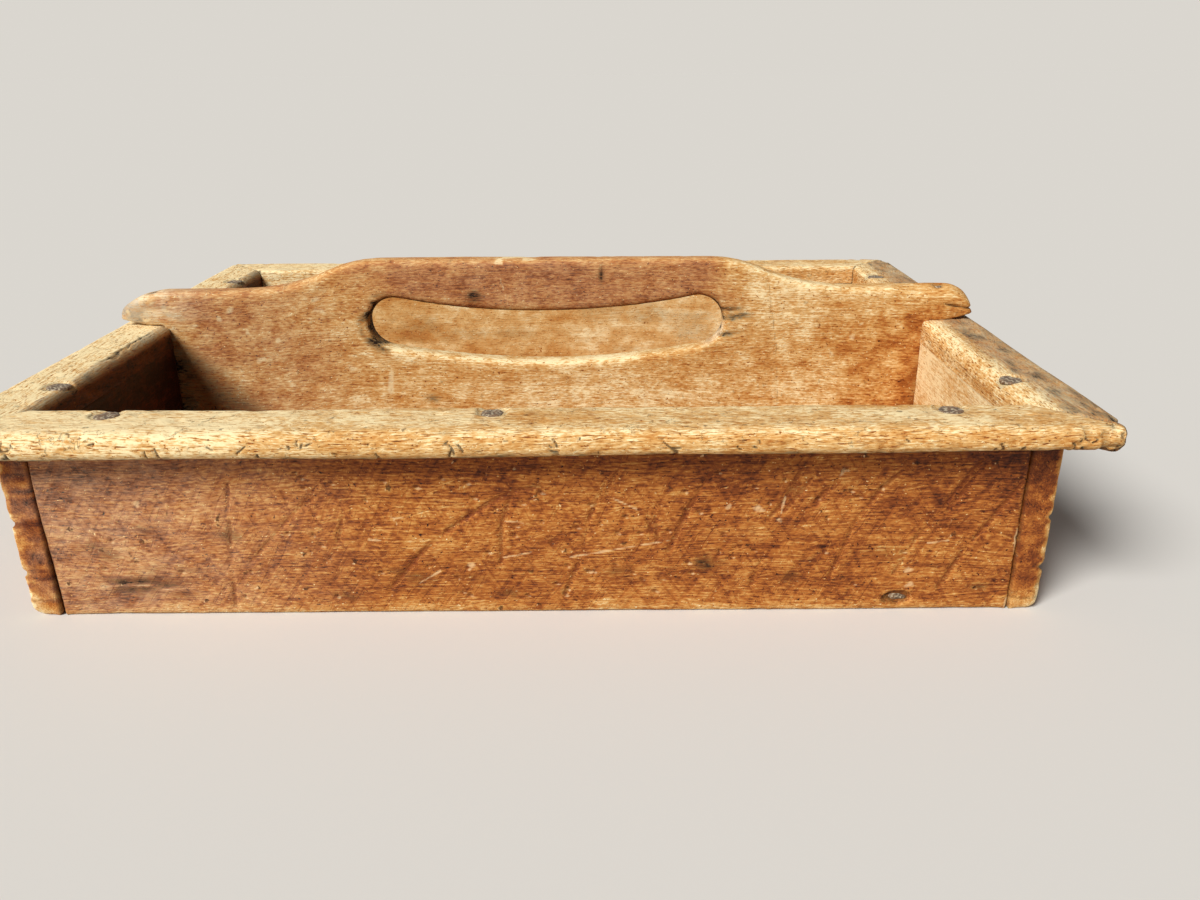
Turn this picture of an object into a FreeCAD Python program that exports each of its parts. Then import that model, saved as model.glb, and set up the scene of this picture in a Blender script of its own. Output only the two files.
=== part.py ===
import FreeCAD, Part
import math
import os

import Sketcher
from FreeCAD import Placement, Rotation, Vector

# An open two-compartment tool caddy of old boards, held together with iron nails.
# Four upright walls stand round an inset floor. A mitred rim with a rounded nose lies on
# the walls. A handle board divides the tray: it drops into housings in the two ends, and
# its ears lie on the end rims.
# Millimetres, +Z up. The origin is the middle of the underside, and +X is the length.

# Driving dimensions: name, size, what it is
DIMENSIONS = (
    ("wall_length", 356, "outside of the two ends, along X"),
    ("wall_depth", 260, "outside of the front and back walls, along Y"),
    ("wall_height", 63.5, "walls, from the underside to the rim"),
    ("wall_board", 11, "thickness of the four walls"),
    ("floor_board", 10, "thickness of the floor, inset flush with the underside"),
    ("foot_round", 3, "worn round under the two ends"),
    ("rim_thickness", 10, "height of the rim"),
    ("rim_overhang", 14.4, "rim beyond the outside of the walls"),
    ("nose_round", 4.5, "radius of the rim's outer nose, top and bottom"),
    ("rim_inner_round", 1.5, "radius of the rim's inner edge"),
    ("handle_board", 11, "thickness of the handle board"),
    ("housing", 3, "depth of the housings in the ends"),
    ("housing_clear", 0.1, "clearance on each face of the handle board in its housing"),
    ("handle_height", 101.6, "top of the handle, from the underside"),
    ("crest_length", 144, "straight top of the handle"),
    ("crest_round", 60, "radius where the crest turns down"),
    ("sweep_run", 64, "length of the sweep from the crest to the ear"),
    ("ear_height", 15, "ears, above the rim"),
    ("ear_inset", 3, "ends of the ears, in from the rim's outer edge"),
    ("ear_round", 12, "radius of the ears' outer corners"),
    ("slot_chord", 135, "hand slot, between the centres of its round ends"),
    ("slot_width", 22.6, "hand slot, across"),
    ("slot_sag", 6.5, "middle of the hand slot, below its ends"),
    ("slot_height", 73.5, "centres of the slot's ends, from the underside"),
    ("grip_round", 2.5, "radius of the edges that a hand meets"),
    ("nail_length", 32, "nails, from the wood's surface to the point"),
    ("nail_head", 8, "diameter of the nail heads"),
    ("nail_head_thickness", 1.6, "thickness of the nail heads"),
    ("nail_set", 0.4, "nail heads, below the wood's surface"),
    ("nail_shank", 3.2, "square of the shank under the head"),
    ("nail_point", 1.2, "square of the shank at its blunt point"),
    ("rim_nail_inset", 38, "outer rim nails, from the outside of the walls"),
    ("rim_nail_middle", -12, "middle rim nail, along X"),
    ("floor_nail_inset", 50, "outer floor nails, from the outside of the walls"),
    ("floor_nail_middle", -10, "middle floor nail, along X"),
    ("corner_nail_low", 17, "lower corner nails, above the underside"),
    ("corner_nail_high", 36, "upper corner nails, above the underside"),
    ("handle_nail_inner", 50, "inner nails under the handle board, from the middle"),
    ("handle_nail_outer", 120, "outer nails under the handle board, from the middle"),
)

# Sizes that follow from the driving ones, as expressions
RIM_TOP = "(dims.wall_height + dims.rim_thickness)"
RIM_WIDTH = "(dims.wall_board + dims.rim_overhang)"
INSIDE_LENGTH = "(dims.wall_length - 2 * dims.wall_board)"
INSIDE_DEPTH = "(dims.wall_depth - 2 * dims.wall_board)"
RIM_LENGTH = "(dims.wall_length + 2 * dims.rim_overhang)"
RIM_DEPTH = "(dims.wall_depth + 2 * dims.rim_overhang)"
WALL_MIDDLE_X = "(dims.wall_length / 2 - dims.wall_board / 2)"
WALL_MIDDLE_Y = "(dims.wall_depth / 2 - dims.wall_board / 2)"
HOUSING_WIDTH = "(dims.handle_board + 2 * dims.housing_clear)"
EAR_TOP = f"({RIM_TOP} + dims.ear_height)"
EAR_REACH = f"({RIM_LENGTH} / 2 - dims.ear_inset)"
EAR_NAIL_X = "(dims.wall_length / 2 - (dims.wall_board - dims.housing) / 2)"
SLOT_RADIUS = "((dims.slot_chord ^ 2 / 4 + dims.slot_sag ^ 2) / (2 * dims.slot_sag))"

# How far a cutting solid runs past the face that it opens, in millimetres
PAST_FACE = 0.5
# How near a point has to be to a plane or a line to lie on it, in millimetres
NEAR = 0.01

# Turns that point a nail, drawn driving down, the other ways
DRIVE_DOWN = Rotation()
DRIVE_UP = Rotation(Vector(1, 0, 0), 180)
DRIVE_BACK = Rotation(Vector(1, 0, 0), 90)
DRIVE_FORWARD = Rotation(Vector(1, 0, 0), -90)
DRIVE_RIGHT = Rotation(Vector(0, 1, 0), -90)
DRIVE_LEFT = Rotation(Vector(0, 1, 0), 90)

doc = FreeCAD.newDocument("tool_caddy")


def make_sheet():
    """The spreadsheet of driving dimensions: a name, a number and a note on each row."""
    sheet = doc.addObject("Spreadsheet::Sheet", "dims")
    for row, (name, number, note) in enumerate(DIMENSIONS, start=1):
        sheet.set(f"A{row}", name)
        sheet.set(f"B{row}", str(number))
        sheet.set(f"C{row}", note)
        sheet.setAlias(f"B{row}", name)
    doc.recompute()
    return sheet


dims = make_sheet()


def size(expression):
    """The number that an expression on the spreadsheet gives now."""
    return float(dims.evalExpression(expression))


def new_body(label):
    """An empty body with that label."""
    body = doc.addObject("PartDesign::Body", label)
    body.Label = label
    return body


def new_sketch(body, name, plane, lift=None):
    """A sketch on one of the body's own origin planes, lifted off it by an expression."""
    sketch = body.newObject("Sketcher::SketchObject", name)
    support = next(part for part in body.Origin.OriginFeatures if part.Role == plane)
    sketch.AttachmentSupport = [(support, "")]
    sketch.MapMode = "FlatFace"
    if lift:
        sketch.setExpression("AttachmentOffset.Base.z", lift)
    return sketch


def dimension(sketch, name, constraint, expression):
    """A named size in a sketch, bound to an expression."""
    index = sketch.addConstraint(constraint)
    sketch.renameConstraint(index, name)
    sketch.setExpression(f"Constraints.{name}", expression)


def line(sketch, start, end):
    """A straight edge between two points of the sketch. Returns its index."""
    return sketch.addGeometry(Part.LineSegment(Vector(*start), Vector(*end)), False)


def arc(sketch, centre, radius, start_degrees, end_degrees):
    """A round edge, drawn anticlockwise between two angles. Returns its index."""
    circle = Part.Circle(Vector(*centre), Vector(0, 0, 1), radius)
    span = (math.radians(start_degrees), math.radians(end_degrees))
    return sketch.addGeometry(Part.ArcOfCircle(circle, *span), False)


def join(sketch, kind, *ends):
    """Joins two edges end to end: kind is Coincident or Tangent, and ends are edge, end pairs."""
    sketch.addConstraint(Sketcher.Constraint(kind, *ends))


def rectangle(sketch, left, bottom, right, top):
    """Four joined, level and upright edges: bottom, right, top and left, as 0 to 3."""
    corners = [(left, bottom), (right, bottom), (right, top), (left, top)]
    for here, there in zip(corners, corners[1:] + corners[:1]):
        line(sketch, here, there)
    for edge in range(4):
        join(sketch, "Coincident", edge, 2, (edge + 1) % 4, 1)
        level = "Horizontal" if edge % 2 == 0 else "Vertical"
        sketch.addConstraint(Sketcher.Constraint(level, edge))


def standing_rectangle(sketch, width, height):
    """A rectangle that stands on the sketch's level axis, centred on its upright axis."""
    half = size(width) / 2
    rectangle(sketch, -half, 0, half, size(height))
    sketch.addConstraint(Sketcher.Constraint("Symmetric", 0, 1, 0, 2, -1, 1))
    dimension(sketch, "width", Sketcher.Constraint("DistanceX", 0, 1, 0, 2, 2 * half), width)
    dimension(sketch, "height", Sketcher.Constraint("DistanceY", 1, 1, 1, 2, size(height)), height)


def centred_rectangle(sketch, width, height):
    """A rectangle centred on the sketch's origin."""
    half, half_height = size(width) / 2, size(height) / 2
    rectangle(sketch, -half, -half_height, half, half_height)
    sketch.addConstraint(Sketcher.Constraint("Symmetric", 0, 1, 2, 1, -1, 1))
    dimension(sketch, "width", Sketcher.Constraint("DistanceX", 0, 1, 0, 2, 2 * half), width)
    tall = Sketcher.Constraint("DistanceY", 1, 1, 1, 2, 2 * half_height)
    dimension(sketch, "height", tall, height)


def pad(body, name, sketch, length, side="Symmetric"):
    """A pad of the sketch, as thick as the expression says."""
    feature = body.newObject("PartDesign::Pad", name)
    feature.Profile = sketch
    feature.SideType = side
    feature.setExpression("Length", length)
    doc.recompute()
    return feature


def pocket(body, name, sketch, reverse=False, side="One side"):
    """A pocket of the sketch right through the body, checked to have cut something."""
    before = body.Shape.Volume
    feature = body.newObject("PartDesign::Pocket", name)
    feature.Profile = sketch
    feature.Type = "ThroughAll"
    feature.SideType = side
    feature.Reversed = reverse
    doc.recompute()
    if body.Shape.Volume >= before:
        raise RuntimeError(f"{body.Label}: {name} cut nothing")
    return feature


def fillet(body, name, radius, chosen):
    """Rounds the edges of the body's last feature for which chosen(edge) is true."""
    base = body.Tip
    edges = [f"Edge{n}" for n, edge in enumerate(base.Shape.Edges, start=1) if chosen(edge)]
    if not edges:
        raise RuntimeError(f"{body.Label}: {name} found no edge")
    feature = body.newObject("PartDesign::Fillet", name)
    feature.Base = (base, edges)
    feature.setExpression("Radius", radius)
    doc.recompute()
    return feature


def place(thing, x="0", y="0", z="0", turn=None):
    """Puts a body or a copy where three expressions say, turned if need be."""
    thing.Placement = Placement(Vector(size(x), size(y), size(z)), turn or Rotation())
    for axis, expression in zip("xyz", (x, y, z)):
        thing.setExpression(f"Placement.Base.{axis}", expression)


# Floor
def make_floor():
    """One board between the four walls."""
    body = new_body("floor_blank")
    sketch = new_sketch(body, "floor_plan", "XY_Plane")
    centred_rectangle(sketch, INSIDE_LENGTH, INSIDE_DEPTH)
    pad(body, "floor_pad", sketch, "dims.floor_board", side="One side")
    return body


# Walls
def make_long_wall(label, y):
    """The front or the back wall, which fits between the two ends."""
    body = new_body(f"{label}_blank")
    sketch = new_sketch(body, f"{label}_face", "XZ_Plane")
    standing_rectangle(sketch, INSIDE_LENGTH, "dims.wall_height")
    pad(body, f"{label}_pad", sketch, "dims.wall_board")
    place(body, y=y)
    return body


def make_end(label, x, outward):
    """A left or right end, with the housing for the handle board and a worn foot."""
    body = new_body(f"{label}_blank")
    sketch = new_sketch(body, f"{label}_face", "YZ_Plane")
    standing_rectangle(sketch, "dims.wall_depth", "dims.wall_height")
    pad(body, f"{label}_pad", sketch, "dims.wall_board")

    plan = new_sketch(body, f"{label}_housing_plan", "XY_Plane", lift="dims.floor_board")
    centred_rectangle(plan, "2 * dims.housing", HOUSING_WIDTH)
    inner_face = f"{-outward} * dims.wall_board / 2"
    plan.setExpression("AttachmentOffset.Base.x", inner_face)
    pocket(body, f"{label}_housing", plan, reverse=True)

    half = outward * size("dims.wall_board") / 2

    def outer_foot(edge):
        middle = edge.CenterOfMass
        return abs(middle.z) < NEAR and abs(middle.x - half) < NEAR

    fillet(body, f"{label}_foot", "dims.foot_round", outer_foot)
    place(body, x=x)
    return body


# Rim
def draw_rim_profile(sketch):
    """The rim's section: flat below, a rounded nose outwards, which is to the left."""
    width, height = size(RIM_WIDTH), size("dims.rim_thickness")
    nose, inner = size("dims.nose_round"), size("dims.rim_inner_round")
    bottom = line(sketch, (0, 0), (nose - width, 0))
    low_nose = arc(sketch, (nose - width, nose), nose, 180, 270)
    front = line(sketch, (-width, nose), (-width, height - nose))
    high_nose = arc(sketch, (nose - width, height - nose), nose, 90, 180)
    top = line(sketch, (nose - width, height), (-inner, height))
    inner_edge = arc(sketch, (-inner, height - inner), inner, 0, 90)
    inside = line(sketch, (0, height - inner), (0, 0))

    join(sketch, "Tangent", bottom, 2, low_nose, 2)
    join(sketch, "Tangent", low_nose, 1, front, 1)
    join(sketch, "Tangent", front, 2, high_nose, 2)
    join(sketch, "Tangent", high_nose, 1, top, 1)
    join(sketch, "Tangent", top, 2, inner_edge, 2)
    join(sketch, "Tangent", inner_edge, 1, inside, 1)
    join(sketch, "Coincident", inside, 2, bottom, 1)
    join(sketch, "Coincident", bottom, 1, -1, 1)
    sketch.addConstraint(Sketcher.Constraint("Horizontal", bottom))
    sketch.addConstraint(Sketcher.Constraint("Equal", low_nose, high_nose))
    across = Sketcher.Constraint("DistanceX", front, 1, bottom, 1, width)
    dimension(sketch, "width", across, RIM_WIDTH)
    up = Sketcher.Constraint("DistanceY", bottom, 1, top, 1, height)
    dimension(sketch, "height", up, "dims.rim_thickness")
    dimension(sketch, "nose", Sketcher.Constraint("Radius", low_nose, nose), "dims.nose_round")
    round_edge = Sketcher.Constraint("Radius", inner_edge, inner)
    dimension(sketch, "inner_edge", round_edge, "dims.rim_inner_round")


def draw_mitre_waste(sketch, length, side):
    """The triangle that a mitre takes off one end of a rim, seen from above."""
    half, width = size(length) / 2, size(RIM_WIDTH)
    past = Vector(PAST_FACE, 0, 0) * side
    tip = Vector(side * half, -width, 0)
    heel = Vector(side * (half - width), 0, 0)
    corner = Vector(side * half, 0, 0)
    slope = line(sketch, tip, heel)
    level = line(sketch, heel, corner + past)
    upright = line(sketch, corner + past, tip + past)
    back = line(sketch, tip + past, tip)
    for here, there in ((slope, level), (level, upright), (upright, back), (back, slope)):
        join(sketch, "Coincident", here, 2, there, 1)
    sketch.addConstraint(Sketcher.Constraint("Horizontal", level))
    sketch.addConstraint(Sketcher.Constraint("Vertical", upright))
    sketch.addConstraint(Sketcher.Constraint("Horizontal", back))
    join(sketch, "PointOnObject", level, 1, -1)
    deep = Sketcher.Constraint("DistanceY", slope, 1, slope, 2, width)
    dimension(sketch, "deep", deep, RIM_WIDTH)
    # Signed, so that the same sketch serves the left end and the right one
    out = Sketcher.Constraint("DistanceX", -1, 1, slope, 1, side * half)
    dimension(sketch, "outer_tip", out, f"{side} * {length} / 2")
    heel_at = Sketcher.Constraint("DistanceX", -1, 1, slope, 2, side * (half - width))
    dimension(sketch, "heel_at", heel_at, f"{side} * ({length} / 2 - {RIM_WIDTH})")
    beyond = Sketcher.Constraint("DistanceX", back, 2, back, 1, side * PAST_FACE)
    sketch.addConstraint(beyond)


def make_rim(label, length, turn, x="0", y="0", housed=False):
    """One side of the rim, drawn as the front one and turned. End rims are notched for the handle."""
    body = new_body(f"{label}_blank")
    profile = new_sketch(body, f"{label}_profile", "YZ_Plane")
    draw_rim_profile(profile)
    pad(body, f"{label}_pad", profile, length)
    for name, side in (("left", -1), ("right", 1)):
        waste = new_sketch(body, f"{label}_{name}_waste", "XY_Plane")
        draw_mitre_waste(waste, length, side)
        pocket(body, f"{label}_{name}_mitre", waste, reverse=True)
    if housed:
        plan = new_sketch(body, f"{label}_notch_plan", "XY_Plane")
        centred_rectangle(plan, HOUSING_WIDTH, "2 * dims.housing")
        pocket(body, f"{label}_notch", plan, reverse=True)
    place(body, x=x, y=y, z="dims.wall_height", turn=Rotation(Vector(0, 0, 1), turn))
    return body


# Handle board
def draw_half_outline(sketch):
    """The right half of the handle board: tenon, ear, sweep and crest."""
    tenon = size(f"{INSIDE_LENGTH} / 2 + dims.housing - dims.housing_clear")
    foot, rim_top, ear_top = size("dims.floor_board"), size(RIM_TOP), size(EAR_TOP)
    reach, crest = size(EAR_REACH), size("dims.crest_length / 2")
    top, ear_round = size("dims.handle_height"), size("dims.ear_round")
    run, rise = size("dims.sweep_run"), size(f"dims.handle_height - {EAR_TOP}")
    crest_round = size("dims.crest_round")
    # Two arcs that are level at their outer ends and tangent where they meet
    turn = math.degrees(2 * math.atan(rise / run))
    hollow = run / math.sin(math.radians(turn)) - crest_round
    sweep_end = crest + run

    middle = line(sketch, (0, top), (0, foot))
    bottom = line(sketch, (0, foot), (tenon, foot))
    side = line(sketch, (tenon, foot), (tenon, rim_top))
    under_ear = line(sketch, (tenon, rim_top), (reach, rim_top))
    ear_end = line(sketch, (reach, rim_top), (reach, ear_top - ear_round))
    ear_corner = arc(sketch, (reach - ear_round, ear_top - ear_round), ear_round, 0, 90)
    ear_edge = line(sketch, (reach - ear_round, ear_top), (sweep_end, ear_top))
    sweep = arc(sketch, (sweep_end, ear_top + hollow), hollow, 270 - turn, 270)
    shoulder = arc(sketch, (crest, top - crest_round), crest_round, 90 - turn, 90)
    crest_edge = line(sketch, (crest, top), (0, top))

    square = ((middle, bottom), (bottom, side), (side, under_ear), (under_ear, ear_end))
    for here, there in square:
        join(sketch, "Coincident", here, 2, there, 1)
    join(sketch, "Tangent", ear_end, 2, ear_corner, 1)
    join(sketch, "Tangent", ear_corner, 2, ear_edge, 1)
    join(sketch, "Tangent", ear_edge, 2, sweep, 2)
    join(sketch, "Tangent", sweep, 1, shoulder, 1)
    join(sketch, "Tangent", shoulder, 2, crest_edge, 1)
    join(sketch, "Coincident", crest_edge, 2, middle, 1)
    for edge in (bottom, under_ear, crest_edge):
        sketch.addConstraint(Sketcher.Constraint("Horizontal", edge))
    for edge in (side, ear_end):
        sketch.addConstraint(Sketcher.Constraint("Vertical", edge))
    join(sketch, "PointOnObject", middle, 1, -2)
    join(sketch, "PointOnObject", middle, 2, -2)

    def across(name, edge, end, number, expression):
        constraint = Sketcher.Constraint("DistanceX", -1, 1, edge, end, number)
        dimension(sketch, name, constraint, expression)

    def upward(name, edge, end, number, expression):
        constraint = Sketcher.Constraint("DistanceY", -1, 1, edge, end, number)
        dimension(sketch, name, constraint, expression)

    half_tenon = f"{INSIDE_LENGTH} / 2 + dims.housing - dims.housing_clear"
    across("tenon", bottom, 2, tenon, half_tenon)
    across("reach", under_ear, 2, reach, EAR_REACH)
    across("crest", crest_edge, 1, crest, "dims.crest_length / 2")
    across("sweep_end", ear_edge, 2, sweep_end, "dims.crest_length / 2 + dims.sweep_run")
    upward("foot", bottom, 1, foot, "dims.floor_board")
    upward("rim_top", under_ear, 1, rim_top, RIM_TOP)
    upward("ear_top", ear_edge, 1, ear_top, EAR_TOP)
    upward("top", crest_edge, 2, top, "dims.handle_height")
    ear = Sketcher.Constraint("Radius", ear_corner, ear_round)
    dimension(sketch, "ear_round", ear, "dims.ear_round")
    shoulder_round = Sketcher.Constraint("Radius", shoulder, crest_round)
    dimension(sketch, "crest_round", shoulder_round, "dims.crest_round")


def draw_slot(sketch):
    """The hand slot: a round-ended slot along an arc that sags in the middle."""
    radius, half_width = size(SLOT_RADIUS), size("dims.slot_width / 2")
    half_chord, height = size("dims.slot_chord / 2"), size("dims.slot_height")
    centre = (0, height + radius - size("dims.slot_sag"))
    swing = math.degrees(math.asin(half_chord / radius))
    upper = arc(sketch, centre, radius - half_width, 270 - swing, 270 + swing)
    lower = arc(sketch, centre, radius + half_width, 270 - swing, 270 + swing)
    right = arc(sketch, (half_chord, height), half_width, 270 + swing, 450 + swing)
    left = arc(sketch, (-half_chord, height), half_width, 90 - swing, 270 - swing)

    join(sketch, "Tangent", upper, 2, right, 2)
    join(sketch, "Tangent", lower, 2, right, 1)
    join(sketch, "Tangent", upper, 1, left, 1)
    join(sketch, "Tangent", lower, 1, left, 2)
    join(sketch, "Coincident", upper, 3, lower, 3)
    join(sketch, "PointOnObject", upper, 3, -2)
    sketch.addConstraint(Sketcher.Constraint("Horizontal", left, 3, right, 3))
    chord = Sketcher.Constraint("DistanceX", left, 3, right, 3, 2 * half_chord)
    dimension(sketch, "chord", chord, "dims.slot_chord")
    up = Sketcher.Constraint("DistanceY", -1, 1, right, 3, height)
    dimension(sketch, "height", up, "dims.slot_height")
    upper_radius = Sketcher.Constraint("Radius", upper, radius - half_width)
    dimension(sketch, "upper_radius", upper_radius, f"{SLOT_RADIUS} - dims.slot_width / 2")
    end_radius = Sketcher.Constraint("Radius", right, half_width)
    dimension(sketch, "end_radius", end_radius, "dims.slot_width / 2")


def make_handle_board():
    """The divider with its ears, raised handle and hand slot."""
    body = new_body("handle_blank")
    outline = new_sketch(body, "handle_half_outline", "XZ_Plane")
    draw_half_outline(outline)
    half = pad(body, "handle_half", outline, "dims.handle_board")
    mirror = body.newObject("PartDesign::Mirrored", "handle_whole")
    mirror.Originals = [half]
    mirror.MirrorPlane = (outline, ["V_Axis"])
    body.Tip = mirror
    doc.recompute()

    slot = new_sketch(body, "handle_slot_outline", "XZ_Plane")
    draw_slot(slot)
    pocket(body, "handle_slot", slot, side="Symmetric")

    # Every edge that runs along a face above the rim, and round the slot
    face, rim_top = size("dims.handle_board / 2"), size(RIM_TOP)
    slot_reach = size("(dims.slot_chord + dims.slot_width) / 2")

    def met_by_hand(edge):
        middle = edge.CenterOfMass
        on_face = abs(abs(middle.y) - face) < NEAR
        in_slot = edge.Curve.TypeId == "Part::GeomCircle" and edge.BoundBox.XMax < slot_reach + NEAR
        in_slot = in_slot and edge.BoundBox.XMin > -slot_reach - NEAR
        return on_face and (middle.z > rim_top + NEAR or in_slot)

    fillet(body, "handle_edges", "dims.grip_round", met_by_hand)
    return body


# Nails
def make_nail_pattern(label, head_top, above="0"):
    """A nail that drives down from the wood's surface at z = 0: a round head on a tapered square shank.

    head_top is how far the head lies below the surface, and above carries it past the surface."""
    body = new_body(label)
    under_head = "-(dims.nail_set + dims.nail_head_thickness)"
    head = new_sketch(body, f"{label}_head_outline", "XY_Plane", lift=under_head)
    circle = Part.Circle(Vector(0, 0, 0), Vector(0, 0, 1), size("dims.nail_head / 2"))
    rim = head.addGeometry(circle, False)
    join(head, "Coincident", rim, 3, -1, 1)
    across = Sketcher.Constraint("Diameter", rim, size("dims.nail_head"))
    dimension(head, "head", across, "dims.nail_head")
    thickness = f"dims.nail_set + dims.nail_head_thickness - {head_top} + {above}"
    pad(body, f"{label}_head", head, thickness, side="One side")

    shank = new_sketch(body, f"{label}_shank_outline", "XY_Plane", lift=under_head)
    centred_rectangle(shank, "dims.nail_shank", "dims.nail_shank")
    point = new_sketch(body, f"{label}_point_outline", "XY_Plane", lift="-dims.nail_length")
    centred_rectangle(point, "dims.nail_point", "dims.nail_point")
    loft = body.newObject("PartDesign::AdditiveLoft", f"{label}_shank")
    loft.Profile = shank
    loft.Sections = [point]
    loft.Ruled = True
    doc.recompute()
    return body


def copies(pattern, label, turn, spots):
    """Copies of a nail or of its hole at spots, each three expressions, as one compound."""
    links = []
    for number, (x, y, z) in enumerate(spots, start=1):
        link = doc.addObject("App::Link", f"{label}_{number}")
        link.LinkedObject = pattern
        place(link, x, y, z, turn)
        links.append(link)
    compound = doc.addObject("Part::Compound", label)
    compound.Label = label
    compound.Links = links
    doc.recompute()
    return compound


def nail_spots():
    """Every group of nails: its name, the way its nails drive and where their heads are."""
    along = "(dims.wall_length / 2 - dims.rim_nail_inset)"
    across = "(dims.wall_depth / 2 - dims.rim_nail_inset)"
    floor_along = "(dims.wall_length / 2 - dims.floor_nail_inset)"
    floor_across = "(dims.wall_depth / 2 - dims.floor_nail_inset)"
    half_length, half_depth = "dims.wall_length / 2", "dims.wall_depth / 2"
    floor_level = "dims.floor_board / 2"
    corner_levels = ("dims.corner_nail_low", "dims.corner_nail_high")
    groups = {}
    for side, sign, drive in (("front", "-", DRIVE_BACK), ("back", "", DRIVE_FORWARD)):
        rim_row = (f"-{along}", "dims.rim_nail_middle", along)
        floor_row = (f"-{floor_along}", "dims.floor_nail_middle", floor_along)
        rim_nails = [(x, f"{sign}{WALL_MIDDLE_Y}", RIM_TOP) for x in rim_row]
        floor_nails = [(x, f"{sign}{half_depth}", floor_level) for x in floor_row]
        groups[f"{side}_rim_nails"] = (DRIVE_DOWN, rim_nails)
        groups[f"{side}_floor_nails"] = (drive, floor_nails)
    for side, sign, drive in (("left", "-", DRIVE_RIGHT), ("right", "", DRIVE_LEFT)):
        rim_nails = [(f"{sign}{WALL_MIDDLE_X}", y, RIM_TOP) for y in (f"-{across}", across)]
        floor_nails = [
            (f"{sign}{half_length}", y, floor_level) for y in (f"-{floor_across}", floor_across)
        ]
        corner_nails = [
            (f"{sign}{half_length}", y, z)
            for y in (f"-{WALL_MIDDLE_Y}", WALL_MIDDLE_Y)
            for z in corner_levels
        ]
        groups[f"{side}_rim_nails"] = (DRIVE_DOWN, rim_nails)
        groups[f"{side}_floor_nails"] = (drive, floor_nails)
        groups[f"{side}_corner_nails"] = (drive, corner_nails)
        groups[f"{side}_ear_nail"] = (DRIVE_DOWN, [(f"{sign}{EAR_NAIL_X}", "0", EAR_TOP)])
    row = [f"{sign}dims.handle_nail_{reach}" for reach in ("outer", "inner") for sign in ("-", "")]
    groups["handle_board_nails"] = (DRIVE_UP, [(x, "0", "0") for x in row])
    return groups


def nailed(label, blank, holes):
    """A board with the holes of the nails that enter it."""
    tool = doc.addObject("Part::Compound", f"{label}_holes")
    tool.Links = holes
    board = doc.addObject("Part::Cut", label)
    board.Label = label
    board.Base = blank
    board.Tool = tool
    doc.recompute()
    return board


def build():
    """Makes every piece and returns them by name."""
    nail = make_nail_pattern("nail_pattern", "dims.nail_set")
    hole = make_nail_pattern("nail_hole_pattern", "0", above=str(PAST_FACE))
    groups = nail_spots()
    pieces = {name: copies(nail, name, *group) for name, group in groups.items()}
    holes = {name: copies(hole, f"{name}_bores", *group) for name, group in groups.items()}

    half_inside, half_inside_y = f"{INSIDE_LENGTH} / 2", f"{INSIDE_DEPTH} / 2"
    corners = ["left_corner_nails", "right_corner_nails"]
    ears = ["left_ear_nail", "right_ear_nail"]
    floor_nails = [f"{side}_floor_nails" for side in ("front", "back", "left", "right")]
    boards = {
        "floor_board": (make_floor(), floor_nails + ["handle_board_nails"]),
        "handle_board": (make_handle_board(), ears + ["handle_board_nails"]),
    }
    for side, sign, turn in (("front", "-", 0), ("back", "", 180)):
        wall = make_long_wall(f"{side}_wall", f"{sign}{WALL_MIDDLE_Y}")
        rim = make_rim(f"{side}_rim", RIM_LENGTH, turn, y=f"{sign}{half_inside_y}")
        boards[f"{side}_wall"] = (wall, [f"{side}_rim_nails", f"{side}_floor_nails"] + corners)
        boards[f"{side}_rim"] = (rim, [f"{side}_rim_nails"])
    for side, sign, outward, turn in (("left", "-", -1, -90), ("right", "", 1, 90)):
        end = make_end(f"{side}_end", f"{sign}{WALL_MIDDLE_X}", outward)
        x = f"{sign}{half_inside}"
        rim = make_rim(f"{side}_rim", RIM_DEPTH, turn, x=x, housed=True)
        on_rim = [f"{side}_rim_nails", f"{side}_ear_nail"]
        boards[f"{side}_end"] = (end, on_rim + [f"{side}_floor_nails", f"{side}_corner_nails"])
        boards[f"{side}_rim"] = (rim, on_rim)
    for label, (blank, entering) in boards.items():
        pieces[label] = nailed(label, blank, [holes[name] for name in entering])
    return pieces


def check(pieces):
    """Stops the build if anything in the document failed or a piece has a bad shape."""
    doc.recompute()
    failed = [thing.Name for thing in doc.Objects if {"Invalid", "Error"} & set(thing.State)]
    if failed:
        raise RuntimeError(f"these failed: {failed}")
    loose = [
        thing.Name
        for thing in doc.Objects
        if thing.TypeId == "Sketcher::SketchObject" and thing.solve() != 0
    ]
    if loose:
        raise RuntimeError(f"these sketches don't solve: {loose}")
    for label, piece in pieces.items():
        if piece.Shape.isNull() or not piece.Shape.isValid() or not piece.Shape.Solids:
            raise RuntimeError(f"{label} has no valid solid")


def write(pieces):
    """Writes each piece to its own STEP file."""
    os.makedirs("parts", exist_ok=True)
    for label, piece in sorted(pieces.items()):
        piece.Shape.exportStep(os.path.join("parts", f"{label}.step"))
        print(f"{label}: {len(piece.Shape.Solids)} solids, {piece.Shape.Volume:.0f} mm3")


parts = build()
check(parts)
write(parts)
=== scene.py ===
# %% [markdown]
# # An old tool caddy
# The real caddy is ten boards and some three dozen iron nails. A tray of four walls and a
# floor carries a rounded, mitred rim, and a handle board with a hand slot divides it.
# Decades of hands, benches and tools have rounded its edges, scored its front and rubbed
# the varnish off wherever something touched it.
# The CAD model gives each board its true size and place but leaves it new and sharp. This
# lesson ages each board: it takes a copy, wears its edges, cuts the scratches, and paints
# on the copy where varnish, dirt and bare wood are, with some painted light and shade, for
# one wood material to read.

# %% Load the frame
import math

import bmesh
import bpy
import numpy as np
from mathutils import Matrix, Vector


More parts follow.
